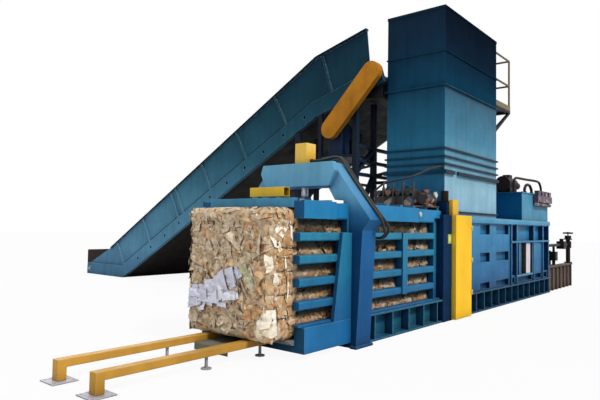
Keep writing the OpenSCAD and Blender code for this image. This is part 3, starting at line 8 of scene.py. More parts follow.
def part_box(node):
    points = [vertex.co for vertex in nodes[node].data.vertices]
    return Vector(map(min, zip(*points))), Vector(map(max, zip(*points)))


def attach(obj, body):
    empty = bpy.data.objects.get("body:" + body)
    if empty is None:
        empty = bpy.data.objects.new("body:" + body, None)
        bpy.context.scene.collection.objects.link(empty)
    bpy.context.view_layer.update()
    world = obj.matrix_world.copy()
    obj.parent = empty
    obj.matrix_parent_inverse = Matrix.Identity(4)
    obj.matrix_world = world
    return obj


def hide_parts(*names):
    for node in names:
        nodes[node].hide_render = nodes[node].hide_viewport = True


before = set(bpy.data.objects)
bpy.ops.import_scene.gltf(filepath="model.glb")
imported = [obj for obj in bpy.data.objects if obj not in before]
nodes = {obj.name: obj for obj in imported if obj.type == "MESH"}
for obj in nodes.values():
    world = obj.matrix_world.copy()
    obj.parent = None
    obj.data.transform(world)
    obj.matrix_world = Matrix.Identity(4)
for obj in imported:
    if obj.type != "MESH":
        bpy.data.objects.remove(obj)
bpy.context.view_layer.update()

# Camera, fitted to the photograph
IMAGE_WIDTH_PX = 600
CAM_POS = Vector((-4.7886, -3.8122, 1.1985))
CAM_YAW, CAM_PITCH, CAM_ROLL = (math.radians(a) for a in (39.536, 2.704, 1.014))
CAM_FOCAL_PX = 553.4
SENSOR = 36

# Strength of the sky, the sun, the weaker sun behind and the fill lamp in front
SKY = 0.42
SUN = 2.6
BACK_SUN = 1.1
FILL = 150

# Share of the floor's colour that is plain white to the camera. The rest takes light and shadow
FLOOR_GLOW = 0.93

# Places and sizes taken from the part, in metres
ROOF_TOP = 1.430
TANK_TOP = 1.870
WALL_Y = 0.648
TOWER_RIB = 0.025

# Conveyor: (y, z) of its shafts, the lines of its near wall's upper and lower edge, the x of the rim and of
# the panels, and how far each strip of painted shade reaches below and above its line
HEAD = (0.580, 3.445)
TAIL = (8.350, 0.127)
RIM_LINE = [(7.520, 0.645), (1.690, 3.963), (0.722, 4.224)]
RIM_X = 2.210
RIM_REACH = (-0.032, 0.002)
FOOT_LINE = [(7.090, 0.250), (1.790, 3.198)]
PANEL_X = 2.240
FOOT_REACH = (0.0, 0.030)

# Inspection window: its span along x and z, and the post's along x. Then the round boss and the gauge
WINDOW = (4.870, 5.710, 0.430, 0.980)
WINDOW_POST = (5.370, 5.590)
BOSS = (1.300, 0.678, 1.366)
GAUGE = (1.870, -0.608, 1.635)

# Slots of the channel's walls, which start at an x, with a baling wire in the middle of each
WALL_START_X = -0.87
SLOT_PITCH = 0.208
WIRE_ZS = [0.374 + SLOT_PITCH * k for k in range(5)]
WIRE_R = 0.0035

# Bolts: half the width of a head across its corners, and the pitch along each row
SMALL_BOLT, BEARING_BOLT, LARGE_BOLT = 0.009, 0.010, 0.011
SEAM_PITCH, LID_PITCH, COLUMN_PITCH = 0.15, 0.20, 0.19


def make_camera():
    """The photograph's camera: yaw from the x axis, pitch up and roll."""
    ct, st = math.cos(CAM_YAW), math.sin(CAM_YAW)
    cp, sp = math.cos(CAM_PITCH), math.sin(CAM_PITCH)
    cr, sr = math.cos(CAM_ROLL), math.sin(CAM_ROLL)
    ahead = Vector((ct * cp, st * cp, sp))
    right = Vector((st, -ct, 0))
    up = right.cross(ahead)
    right, up = cr * right + sr * up, cr * up - sr * right
    data = bpy.data.cameras.new("camera")
    data.sensor_fit = "HORIZONTAL"
    data.sensor_width = SENSOR
    data.lens = CAM_FOCAL_PX / IMAGE_WIDTH_PX * SENSOR
    data.clip_end = 200
    cam = bpy.data.objects.new("camera", data)
    m = Matrix((right, up, -ahead)).transposed().to_4x4()
    m.translation = CAM_POS
    cam.matrix_world = m
    bpy.context.collection.objects.link(cam)
    bpy.context.scene.camera = cam


# Shader helpers

def lin(r, g, b):
    """sRGB 0-255 to linear."""
    def f(c):
        c /= 255
        return c / 12.92 if c <= 0.04045 else ((c + 0.055) / 1.055) ** 2.4
    return f(r), f(g), f(b)


def dark(c, k):
    """A colour times a factor, which is above 1 for a lighter one."""
    return tuple(v * k for v in c)


# Linear colours
WHITE = (1, 1, 1)
BLACK = (0, 0, 0)
CHIPPED = (0.34, 0.33, 0.31)
RUST = (0.16, 0.075, 0.035)

# How far dirt and painted shade reach out of corners, painted shade out of the board's folds, and how
# strongly both show
GRIME_AND_SHADE_REACH = 0.14
FOLD_REACH = 0.05
CORNER_SHARE = 0.85


class Shader:
    """A small helper round one material's node tree. Sources are (node, output) pairs."""

    def __init__(self, name):
        self.mat = bpy.data.materials.new(name)
        self.mat.use_nodes = True
        self.tree = self.mat.node_tree
        self.tree.nodes.clear()
        self.out = self.add("ShaderNodeOutputMaterial")
        self.bsdf = self.add("ShaderNodeBsdfPrincipled")
        self.join(self.bsdf, 0, self.out, 0)
        self.coord = self.add("ShaderNodeTexCoord")

    def add(self, kind, **values):
        node = self.tree.nodes.new(kind)
        for key, value in values.items():
            setattr(node, key, value)
        return node

    def join(self, a, a_out, b, b_in):
        self.tree.links.new(a.outputs[a_out], b.inputs[b_in])

    def noise(self, scale, detail=4, rough=0.55, stretch=None):
        node = self.add("ShaderNodeTexNoise")
        node.inputs["Scale"].default_value = scale
        node.inputs["Detail"].default_value = detail
        node.inputs["Roughness"].default_value = rough
        if stretch:
            place = self.add("ShaderNodeMapping")
            place.inputs["Scale"].default_value = stretch
            self.join(self.coord, "Object", place, 0)
            self.join(place, 0, node, "Vector")
        else:
            self.join(self.coord, "Object", node, "Vector")
        return node

    def ramp(self, source, out, stops):
        node = self.add("ShaderNodeValToRGB")
        els = node.color_ramp.elements
        while len(els) < len(stops):
            els.new(0.5)
        for el, (pos, col) in zip(els, stops):
            el.position = pos
            el.color = (*col, 1)
        self.join(source, out, node, 0)
        return node

    def mix(self, fac, a, b, blend="MIX"):
        """fac, a and b are (node, output) pairs or constants."""
        node = self.add("ShaderNodeMix", data_type="RGBA", blend_type=blend)
        for i, value in ((0, fac), (6, a), (7, b)):
            if isinstance(value, tuple) and hasattr(value[0], "outputs"):
                self.tree.links.new(value[0].outputs[value[1]], node.inputs[i])
            elif i == 0:
                node.inputs[0].default_value = value
            else:
                node.inputs[i].default_value = (*value, 1)
        return node, 2

    def math(self, operation, a, b, c=0.0):
        node = self.add("ShaderNodeMath", operation=operation)
        for i, value in ((0, a), (1, b), (2, c)):
            if isinstance(value, tuple):
                self.tree.links.new(value[0].outputs[value[1]], node.inputs[i])
            else:
                node.inputs[i].default_value = value
        return node, 0

    def spread(self, source, low, high):
        """0 at low and 1 at high."""
        node = self.add("ShaderNodeMapRange")
        node.inputs["From Min"].default_value = low
        node.inputs["From Max"].default_value = high
        self.tree.links.new(source[0].outputs[source[1]], node.inputs[0])
        return node, 0

    def axis(self, name, low, high):
        """0 at low and 1 at high along an axis of the frame."""
        split = self.add("ShaderNodeSeparateXYZ")
        self.join(self.coord, "Object", split, 0)
        return self.spread((split, name), low, high)

    def facing(self, name):
        """1 on faces that look along an axis, either way."""
        split = self.add("ShaderNodeSeparateXYZ")
        self.join(self.coord, "Normal", split, 0)
        size = self.add("ShaderNodeMath", operation="ABSOLUTE")
        self.join(split, name, size, 0)
        return self.spread((size, 0), 0.6, 0.9)

    def gradient(self, ramp):
        """A (axis, low, high, stops) fade along an axis of the frame."""
        axis, low, high, stops = ramp
        source = self.axis(axis, low, high)
        return self.ramp(*source, stops), 0

    def colour(self, source):
        self.tree.links.new(source[0].outputs[source[1]], self.bsdf.inputs["Base Color"])

    def bump(self, source, strength, distance):
        node = self.add("ShaderNodeBump")
        node.inputs["Strength"].default_value = strength
        node.inputs["Distance"].default_value = distance
        self.tree.links.new(source[0].outputs[source[1]], node.inputs["Height"])
        return node

    def edges(self, radius):
        """A rounded normal, and a mask of the edges that it rounds: 1 where both normals differ most."""
        soft = self.add("ShaderNodeBevel", samples=4)
        soft.inputs["Radius"].default_value = radius
        geo = self.add("ShaderNodeNewGeometry")
        dot = self.add("ShaderNodeVectorMath", operation="DOT_PRODUCT")
        self.join(soft, 0, dot, 0)
        self.join(geo, "Normal", dot, 1)
        return soft, self.spread((dot, "Value"), 0.985, 0.82)


def paint(name, colour, rough=0.42, ramp=None, side=None, x_face_light_ramp=None, dirt=0.35, edge=0.008, wear=0.5,
          wear_colour=None, streak=0.25, chip=0.08, spec=0.12, shaded_fins=()):
    """Painted sheet steel: clouded colour, runs, dirt and painted shade in corners, worn edges and chips.

    ramp fades the colour along an axis and takes the colour's place; side and x_face_light_ramp are painted
    light and shade on the faces that look along X; shaded_fins are (axis, wall, colour), painted shade on
    what stands out of a wall on its low side. dirt, streak, wear and chip say how much there is of each, and
    edge is the radius of the rounded edges.
    """
    s = Shader(name)
    if ramp:
        base = s.gradient(ramp)
    else:
        base = s.ramp(s.noise(0.9, 2), 0, [(0.3, dark(colour, 0.86)), (0.7, dark(colour, 1.12))]), 0
    # Faces that look along X get painted light and shade for how the light falls on them
    if x_face_light_ramp or side:
        painted_x_face = s.gradient(x_face_light_ramp) if x_face_light_ramp else side
        base = s.mix(s.facing("X"), base, painted_x_face)
    # Painted shade on what stands out of a wall
    for axis, wall, fin_shade in shaded_fins:
        base = s.mix(s.axis(axis, wall - 0.002, wall - 0.006), base, fin_shade)
    cloud = s.ramp(s.noise(2.6, 5, 0.6), 0, [(0.38, WHITE), (0.72, dark(WHITE, 1 - dirt * 0.55))])
    tinted = s.mix(1.0, base, (cloud, 0), "MULTIPLY")
    drips = s.noise(3.5, 3, 0.6, (3.2, 3.2, 0.22))
    runs = s.ramp(drips, 0, [(0.45, WHITE), (0.75, dark(WHITE, 1 - streak * 0.6))])
    streaked = s.mix(1.0, tinted, (runs, 0), "MULTIPLY")
    # Corners darkened by ambient occlusion: partly dirt, partly painted shade
    corner = s.add("ShaderNodeAmbientOcclusion", samples=3)
    corner.inputs["Distance"].default_value = GRIME_AND_SHADE_REACH
    grime_and_shade = s.ramp(corner, "AO", [(0.30, (0.30, 0.29, 0.30)), (0.82, WHITE)])
    soiled_and_shaded = s.mix(CORNER_SHARE, streaked, (grime_and_shade, 0), "MULTIPLY")
    chips = s.ramp(s.noise(34, 3, 0.7), 0, [(0.66, BLACK), (0.72, dark(WHITE, chip))])
    chipped = s.mix((chips, 0), soiled_and_shaded, CHIPPED)
    soft, rim = s.edges(edge)
    rough_rim = s.ramp(s.noise(19, 4, 0.7), 0, [(0.35, dark(WHITE, wear * 0.3)), (0.62, dark(WHITE, wear))])
    amount = s.math("MULTIPLY", rim, (rough_rim, 0))
    final = s.mix(amount, chipped, wear_colour or tuple(min(1, v * 2.2 + 0.06) for v in colour))
    s.colour(final)
    s.bsdf.inputs["Specular IOR Level"].default_value = spec
    gloss = s.ramp(s.noise(5, 4), 0, [(0.3, dark(WHITE, rough * 0.85)), (0.75, dark(WHITE, rough * 1.3))])
    s.join(gloss, 0, s.bsdf, "Roughness")
    peel = s.bump((s.noise(60, 2), 0), 0.05, 0.002)
    s.join(soft, 0, peel, "Normal")
    s.join(peel, 0, s.bsdf, "Normal")
    return s.mat


def metal(name, colour, rough=0.38, rust=0.0):
    """Bare steel with fine grain, and rust spots where asked."""
    s = Shader(name)
    fine = s.ramp(s.noise(90, 3, 0.6), 0, [(0.3, dark(colour, 0.75)), (0.7, dark(colour, 1.15))])
    spots = s.ramp(s.noise(7, 6, 0.7), 0, [(0.5, BLACK), (0.68, dark(WHITE, rust))])
    mixed = s.mix((spots, 0), (fine, 0), RUST)
    s.colour(mixed)
    s.bsdf.inputs["Metallic"].default_value = 0.85 if rust < 0.4 else 0.4
    gloss = s.ramp(s.noise(30, 3), 0, [(0.3, dark(WHITE, rough * 0.8)), (0.7, dark(WHITE, rough * 1.35))])
    s.join(gloss, 0, s.bsdf, "Roughness")
    s.join(s.edges(0.003)[0], 0, s.bsdf, "Normal")
    return s.mat


def rubber(name, colour, rough):
    """Matt black rubber with a fine skin."""
    s = Shader(name)
    fine = s.ramp(s.noise(25, 4), 0, [(0.3, dark(colour, 0.7)), (0.7, dark(colour, 1.7))])
    s.join(fine, 0, s.bsdf, "Base Color")
    s.bsdf.inputs["Roughness"].default_value = rough
    s.join(s.bump((s.noise(140, 2), 0), 0.2, 0.001), 0, s.bsdf, "Normal")
    return s.mat


def oily(name, colour, spots):
    """Dark oily fittings with brass, pink and steel bits among them."""
    s = Shader(name)
    cell = s.add("ShaderNodeTexVoronoi")
    cell.inputs["Scale"].default_value = 11
    s.join(s.coord, "Object", cell, "Vector")
    split = s.add("ShaderNodeSeparateColor")
    s.join(cell, "Color", split, 0)
    bits = s.ramp(split, 0, [(0.0, colour), (0.52, dark(colour, 1.6)), (0.58, spots[0]), (0.70, colour),
                             (0.80, spots[1]), (0.90, dark(colour, 0.6)), (0.96, spots[2])])
    bits.color_ramp.interpolation = "CONSTANT"
    film = s.ramp(s.noise(14, 5), 0, [(0.35, dark(WHITE, 0.5)), (0.65, WHITE)])
    final = s.mix(1.0, (bits, 0), (film, 0), "MULTIPLY")
    s.colour(final)
    s.bsdf.inputs["Roughness"].default_value = 0.42
    s.join(s.edges(0.004)[0], 0, s.bsdf, "Normal")
    return s.mat


BLUE = lin(24, 92, 142)
EDGE_BLUE = lin(128, 176, 204)


def blue_materials():
    """The machine's blue paint from part to part, with painted light and shade where noted."""
    # Its colour on faces that look along X is painted shade
    wall = paint("blue_channel", BLUE, side=lin(20, 84, 130), wear_colour=EDGE_BLUE, wear=0.6,
                 ramp=("Z", 0.29, 1.43, [
                     (0.0, lin(28, 96, 148)), (0.45, lin(36, 120, 158)), (0.84, lin(42, 132, 166)),
                     (0.87, lin(30, 128, 180)), (1.0, lin(36, 128, 182))]))
    # Its colour on faces that look along X is painted shade
    base = paint("blue_base", BLUE, side=lin(22, 72, 104), dirt=0.5, wear_colour=EDGE_BLUE, wear=0.75,
                 ramp=("X", -0.9, 6.6, [
                     (0.0, lin(34, 112, 168)), (0.09, lin(24, 104, 158)), (0.13, lin(34, 100, 136)),
                     (0.36, lin(40, 102, 128)), (0.46, lin(26, 72, 106)), (1.0, lin(30, 76, 108))]))
    # Its colour on faces that look along X is painted shade
    press = paint("blue_press", BLUE, side=lin(14, 54, 98), dirt=0.45, wear_colour=EDGE_BLUE, wear=0.8,
                  ramp=("Z", 0.3, 1.38, [
                      (0.0, lin(20, 82, 130)), (0.2, lin(30, 100, 150)), (0.6, lin(44, 122, 170)),
                      (0.9, lin(58, 138, 184)), (1.0, lin(84, 158, 196))]))
    deck = paint("blue_deck", lin(96, 160, 194), dirt=0.3)
    # Painted light and shade: the fades make the crosshead light and the legs dark, the more so on faces that
    # look along X
    hoop = paint("blue_portal", BLUE, rough=0.4, wear_colour=EDGE_BLUE, wear=0.5,
                 ramp=("Z", 0.0, 1.9, [
                     (0.0, lin(12, 74, 126)), (0.58, lin(14, 92, 150)), (0.68, lin(28, 108, 164)),
                     (0.76, lin(72, 136, 184)), (1.0, lin(96, 156, 194))]),
                 x_face_light_ramp=("Z", 0.0, 1.9, [
                     (0.0, lin(12, 56, 96)), (0.60, lin(14, 66, 112)), (0.70, lin(50, 112, 156)),
                     (0.80, lin(108, 170, 204)), (1.0, lin(116, 176, 204))]))
    roof = paint("blue_roof", lin(74, 146, 184), dirt=0.4, wear_colour=EDGE_BLUE)
    column = paint("blue_tying", lin(14, 48, 84), rough=0.4, spec=0.02, wear=0.4,
                   wear_colour=lin(60, 100, 146))
    # Its colour on faces that look along X is painted shade
    tank = paint("blue_tank", lin(80, 148, 180), side=lin(16, 86, 136), wear_colour=EDGE_BLUE, spec=0.05)
    low = Vector(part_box("hopper_lower")[0])
    # Painted reflection of the pale floor: lighter low, darker up the tower, on faces that look along X too.
    # The dark colour on the ribs is painted shade
    tower = paint("blue_tower", BLUE, rough=0.38, streak=0.3, edge=0.005, wear=0.1, spec=0.06,
                  ramp=("Z", 1.4, 3.25, [
                      (0.0, lin(142, 186, 210)), (0.2, lin(146, 188, 208)), (0.40, lin(108, 164, 190)),
                      (0.62, lin(60, 126, 156)), (1.0, lin(22, 78, 106))]),
                  x_face_light_ramp=("Z", 1.4, 3.25, [
                      (0.0, lin(24, 84, 130)), (0.3, lin(50, 120, 158)), (0.5, lin(42, 112, 144)),
                      (0.75, lin(32, 92, 122)), (1.0, lin(26, 76, 102))]),
                  shaded_fins=(("X", low.x + TOWER_RIB, lin(20, 62, 90)),
                        ("Y", low.y + TOWER_RIB, lin(26, 50, 66))))
    # Painted shade: darker towards the top, carrying on the tower's painted reflection
    crown = paint("navy_tower", lin(22, 48, 70), rough=0.4, edge=0.005, wear=0.2, spec=0.0,
                  ramp=("Z", 3.2, 4.4, [
                      (0.0, lin(16, 64, 90)), (0.25, lin(18, 50, 72)), (0.55, lin(18, 34, 52)),
                      (1.0, lin(14, 22, 34))]),
                  x_face_light_ramp=("Z", 3.2, 4.4, [
                      (0.0, lin(26, 74, 102)), (0.30, lin(26, 64, 88)), (0.62, lin(28, 52, 74)),
                      (1.0, lin(28, 46, 64))]))
    # Painted light and shade: lighter low, darker towards the head
    trough = paint("blue_conveyor", BLUE, rough=0.42, streak=0.3, edge=0.012, spec=0.04, wear=0.7,
                   wear_colour=lin(170, 200, 214),
                   ramp=("Z", 0.2, 4.2, [
                       (0.0, lin(82, 128, 160)), (0.12, lin(98, 150, 182)), (0.34, lin(84, 138, 164)),
                       (0.55, lin(48, 96, 116)), (0.78, lin(28, 66, 82)), (1.0, lin(22, 50, 68))]))
    pan = paint("dark_pan", lin(40, 34, 30), rough=0.6, wear=0.2, ramp=("Z", 0.0, 3.4, [
        (0.0, lin(58, 52, 50)), (0.4, lin(42, 36, 32)), (1.0, lin(24, 22, 26))]))
    # On faces that look along X, truss and drive get painted shade
    truss = paint("dark_truss", lin(28, 42, 62), rough=0.5, side=lin(20, 28, 42), wear=0.25)
    drive = paint("dark_drive", lin(24, 46, 76), rough=0.5, side=lin(20, 36, 60), wear=0.25)
    return {
        wall: "channel_wall_near channel_wall_far", base: "base_frame",
        press: "press_wall_near press_wall_far press_rear", deck: "press_deck", hoop: "portal_frame",
        roof: "channel_roof clamp_roof", column: "tying_frame main_cylinder", tank: "oil_tank",
        tower: "hopper_lower", crown: "hopper_upper tower_door",
        trough: "conveyor_side_near conveyor_side_far", pan: "conveyor_pan", truss: "support_truss",
        drive: "gear_motor",
    }


def other_materials():
    """Yellow, dark and grey paints, bare metal, fittings and rubber, with painted light and shade where
    noted.
    """
    # Its colour on faces that look along X is painted light
    guard = paint("yellow_guard", lin(252, 196, 24), rough=0.42, dirt=0.2, streak=0.1, edge=0.014,
                  wear_colour=lin(255, 226, 110), wear=0.9, side=lin(250, 206, 60))
    small = paint("yellow_small", lin(238, 190, 60), rough=0.42, dirt=0.3, streak=0.12,
                  wear_colour=lin(255, 228, 130))
    # Painted light: lighter towards the top and on faces that look along X
    cover = paint("yellow_cover", lin(250, 196, 84), rough=0.45, side=lin(255, 208, 96),
                  ramp=("Z", 1.87, 2.1, [
                      (0.0, lin(238, 170, 60)), (0.5, lin(248, 192, 70)), (1.0, lin(255, 214, 120))]))
    golden = paint("yellow_rails", lin(196, 146, 60), rough=0.5, dirt=0.4, wear=0.8, edge=0.012, chip=0.2,
                   wear_colour=lin(196, 170, 100))
    # Its colour on faces that look along X is painted light
    ochre = paint("orange_guard", lin(196, 124, 26), rough=0.5, dirt=0.7, wear=0.9, edge=0.016, chip=0.2,
                  wear_colour=lin(214, 164, 72), side=lin(200, 130, 34))
    brown = paint("brown_primer", lin(96, 80, 74), rough=0.6, dirt=0.6, wear=0.6,
                  wear_colour=lin(170, 150, 140))
    pipes = paint("pipe_brown", lin(44, 32, 28), rough=0.45, wear=0.2)
    beige = paint("beige_rail", lin(126, 114, 84), rough=0.5, edge=0.003, wear=0.1)
    shelf = paint("dark_platform", lin(34, 36, 44), rough=0.5, wear=0.3)
    grey = paint("foot_grey", lin(178, 176, 186), rough=0.5)
    tray = paint("grey_tray", lin(118, 118, 104), rough=0.6, dirt=0.6)
    # Its colour on faces that look along X is painted shade
    motor = paint("motor_dark", lin(58, 48, 54), rough=0.5, side=lin(46, 36, 34),
                  wear_colour=lin(120, 110, 110))
    black = paint("black_paint", lin(30, 24, 24), rough=0.42, dirt=0.2, wear=0.4,
                  wear_colour=lin(90, 80, 76))
    steel = metal("bare_steel", (0.42, 0.43, 0.45))
    # Near black steel: painted shade for the channel's dark inside, seen through the window
    ram = metal("ram_steel_painted_shade", (0.05, 0.045, 0.045), 0.6, rust=0.1)
    floor = metal("worn_floor", (0.26, 0.26, 0.26), 0.5, rust=0.6)
    bank = oily("bank_fittings", lin(40, 30, 30),
                (lin(150, 96, 76), lin(196, 170, 150), lin(110, 116, 126)))
    valves = oily("tank_fittings", lin(52, 42, 62),
                  (lin(118, 84, 104), lin(190, 148, 158), lin(84, 84, 112)))
    hose = rubber("hose_rubber", (0.012, 0.012, 0.013), 0.5)
    belt = rubber("belt_rubber", (0.02, 0.02, 0.02), 0.7)
    return {
        guard: "wire_guard", small: "roof_cross_bar wire_box",
        cover: "cylinder_cover", golden: "bale_rails",
        ochre: "chain_guard", brown: "rear_frame", pipes: "tank_pipes", beige: "platform_railing",
        shelf: "service_platform", grey: "rail_feet", tray: "rail_tray", motor: "pump_motors",
        black: "clamp_cylinder rear_valves valve_wheel twister_motor drive_chain",
        steel: "clamp_rod guard_hinges wire_guide_bar twister_shaft needle_carriage needle_frame "
               "shear_knife ram_rod head_shaft tail_shaft drive_sprocket",
        ram: "ram", floor: "channel_floor", bank: "valve_bank", valves: "tank_valves",
        hose: "portal_hoses bank_hoses", belt: "conveyor_belt",
    }


def node_materials():
    """Give every node of the frame its material."""
    for mat, names in {**blue_materials(), **other_materials()}.items():
        for name in names.split():
            nodes[name].data.materials.clear()
            nodes[name].data.materials.append(mat)


# Mesh helpers

class Mesh:
    """Collects vertices and faces of one piece."""

    def __init__(self):
        self.verts = []
        self.faces = []

    def box(self, lo, hi):
        """A flat strip or plate between two corners."""
        start = len(self.verts)
        for z in (lo[2], hi[2]):
            self.verts += [(lo[0], lo[1], z), (hi[0], lo[1], z), (hi[0], hi[1], z), (lo[0], hi[1], z)]
        self.close(start, 4, 2)

    def close(self, start, sides, rings):
        """Faces of a stack of rings, with both ends closed."""
        for j in range(rings - 1):
            for i in range(sides):
                a = start + j * sides
                k = (i + 1) % sides
                self.faces.append((a + i, a + k, a + sides + k, a + sides + i))
        self.faces.append(tuple(start + i for i in reversed(range(sides))))
        self.faces.append(tuple(start + (rings - 1) * sides + i for i in range(sides)))

    def turned(self, place, axis, profile, sides):
        """A turned form: profile is (radius, height) from the foot up along the axis."""
        n = Vector(axis).normalized()
        u = n.orthogonal().normalized()
        v = n.cross(u)
        start = len(self.verts)
        for r, h in profile:
            for i in range(sides):
                a = 2 * math.pi * (i + 0.5) / sides
                self.verts.append(Vector(place) + n * h + u * (r * math.cos(a)) + v * (r * math.sin(a)))
        self.close(start, sides, len(profile))

    def bolt(self, place, axis, size):
        """A washer and a hexagon head."""
        self.turned(place, axis, [(size * 1.25, -0.001), (size * 1.25, 0.0025)], 12)
        self.turned(place, axis, [(size, 0.0025), (size, size * 0.7), (size * 0.82, size * 0.85)], 6)

    def ring(self, points, r, sides):
        """A closed loop of round wire, lying flat."""
        start = len(self.verts)
        count = len(points)
        for i, p in enumerate(points):
            t = (Vector(points[(i + 1) % count]) - Vector(points[i - 1])).normalized()
            side = t.cross(Vector((0, 0, 1))).normalized()
            up = side.cross(t)
            for k in range(sides):
                a = 2 * math.pi * k / sides
                self.verts.append(Vector(p) + r * (math.cos(a) * side + math.sin(a) * up))
        for i in range(count):
            for k in range(sides):
                a, b = start + i * sides, start + ((i + 1) % count) * sides
                q = (k + 1) % sides
                self.faces.append((a + k, b + k, b + q, a + q))

    def piece(self, name, mat, body, slot, smooth=False):
        """Make the object, let it ride on a body and give it its material. slot is not used."""
        me = bpy.data.meshes.new(name)
        me.from_pydata([tuple(v) for v in self.verts], [], self.faces)
        me.validate()
        me.update()
        if smooth:
            me.shade_smooth()
        o = bpy.data.objects.new(name, me)
        me.materials.append(mat)
        bpy.context.collection.objects.link(o)
        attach(o, body)
        return o


def steps(a, b, pitch):
    """Evenly spaced places from a to b, about a pitch apart."""
    n = max(1, round((b - a) / pitch))
    return [a + (b - a) * i / n for i in range(n + 1)]


# Bolts, trims, plate and caps

def body_bolts():
    """Bolts of the tower's seam, the tank's lid and the tying column."""
    m = Mesh()
    lo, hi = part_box("hopper_upper")
    seam_z, flange, corner = lo[2] + 0.014, 0.016, 0.08
    for x in steps(lo[0] + corner, hi[0] - corner, SEAM_PITCH):
        for y in (lo[1] + flange, hi[1] - flange):
            m.bolt((x, y, seam_z), (0, 0, 1), SMALL_BOLT)
    for y in steps(lo[1] + corner, hi[1] - corner, SEAM_PITCH):
        for x in (lo[0] + flange, hi[0] - flange):
            m.bolt((x, y, seam_z), (0, 0, 1), SMALL_BOLT)
    lo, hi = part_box("oil_tank")
    end, edge = 0.03, 0.025
    for x in steps(lo[0] + end, hi[0] - end, LID_PITCH):
        for y in (lo[1] + edge, hi[1] - edge):
            m.bolt((x, y, TANK_TOP), (0, 0, 1), SMALL_BOLT)
    lo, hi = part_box("tying_frame")
    x, lowest, highest = lo[0] + 0.05, 0.16, 1.30
    for z in steps(lowest, highest, COLUMN_PITCH):
        for y, way in ((lo[1], -1), (hi[1], 1)):
            m.bolt((x, y, z), (0, way, 0), LARGE_BOLT)
    return m


def conveyor_bolts():
    """Bolts at the corners of the near bearing blocks."""
    m = Mesh()
    x0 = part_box("conveyor_side_near")[0][0]
    reach = 0.055
    for y, z in (HEAD, TAIL):
        for dy in (-reach, reach):
            for dz in (-reach, reach):
                m.bolt((x0, y + dy, z + dz), (-1, 0, 0), BEARING_BOLT)
    return m


def edging(face_x, line, reach):
    """A thin strip of painted shade on the conveyor's near wall, along a line of (y, z) points."""
    m = Mesh()
    low, high = reach
    x0, x1 = face_x - 0.004, face_x + 0.001
    for (y0, z0), (y1, z1) in zip(line, line[1:]):
        start = len(m.verts)
        for y, z in ((y0, z0), (y1, z1)):
            m.verts += [(x0, y, z + low), (x1, y, z + low), (x1, y, z + high), (x0, y, z + high)]
        m.close(start, 4, 2)
    return m


def window_trim():
    """Frame round the inspection window, standing proud of the wall."""
    m = Mesh()
    x0, x1, z0, z1 = WINDOW
    thick, w = 0.012, 0.028
    y0, y1 = -WALL_Y - thick, -WALL_Y
    m.box((x0 - w, y0, z0 - w), (x1 + w, y1, z0))
    m.box((x0 - w, y0, z1), (x1 + w, y1, z1 + w))
    m.box((x0 - w, y0, z0), (x0, y1, z1))
    m.box((x1, y0, z0), (x1 + w, y1, z1))
    return m


def plate(name, lo, hi, mat, body, slot):
    """A piece that is one plain plate or block."""
    m = Mesh()
    m.box(lo, hi)
    m.piece(name, mat, body, slot)


def window_post():
    """Pale strip on the post in the window."""
    z0, z1 = WINDOW[2:]
    x0, x1 = WINDOW_POST
    out, gap = 0.004, 0.004
    pale = paint("pale_post", lin(226, 216, 222), rough=0.5)
    plate("window_post_front", (x0, -WALL_Y - out, z0 + gap), (x1, -WALL_Y + 0.002, z1 - gap),
          pale, "frame", "grey")


def bare_plate():
    """Blank plate on the tying frame: a rim with a paler field."""
    x, y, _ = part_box("tying_frame")[0]
    lime = paint("plate_lime", lin(196, 206, 60), rough=0.5)
    field = paint("plate_field", lin(222, 226, 150), rough=0.5)
    plate("bare_plate", (x + 0.132, y - 0.003, 1.005), (x + 0.232, y + 0.001, 1.125), lime, "frame", "grey")
    plate("bare_plate_field", (x + 0.150, y - 0.005, 1.028), (x + 0.214, y - 0.002, 1.102), field,
          "frame", "grey")


def caps():
    """Pale caps on the walls' bosses, and the dial of the bank's gauge."""
    pale = paint("cap_pale", lin(206, 216, 210), rough=0.4)
    cap = [(0.033, -0.012), (0.033, 0.004), (0.027, 0.010), (0.012, 0.011), (0.010, 0.014)]
    dial = [(0.038, -0.02), (0.038, 0.003), (0.034, 0.006), (0.032, 0.001), (0.002, 0.001)]
    x, y, z = BOSS
    cap_sides, dial_sides = 24, 28
    for name, way in (("boss_cap_near", -1), ("boss_cap_far", 1)):
        m = Mesh()
        m.turned((x, way * y, z), (0, way, 0), cap, cap_sides)
        m.piece(name, pale, "frame", "grey")
    m = Mesh()
    m.turned(GAUGE, (0, -1, 0), dial, dial_sides)
    m.piece("gauge_dial", pale, "frame", "grey")


def bar_blocks():
    """Pale green blocks that carry the yellow bar on the clamp's roof."""
    green = paint("block_green", lin(176, 200, 160), rough=0.5)
    lo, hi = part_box("roof_cross_bar")
    inset, half = 0.012, 0.024
    for name, y in (("bar_block_near", -0.15), ("bar_block_far", 0.15)):
        plate(name, (lo[0] + inset, y - half, ROOF_TOP), (hi[0] - inset, y + half, lo[2]),
              green, "clamp", "grey")


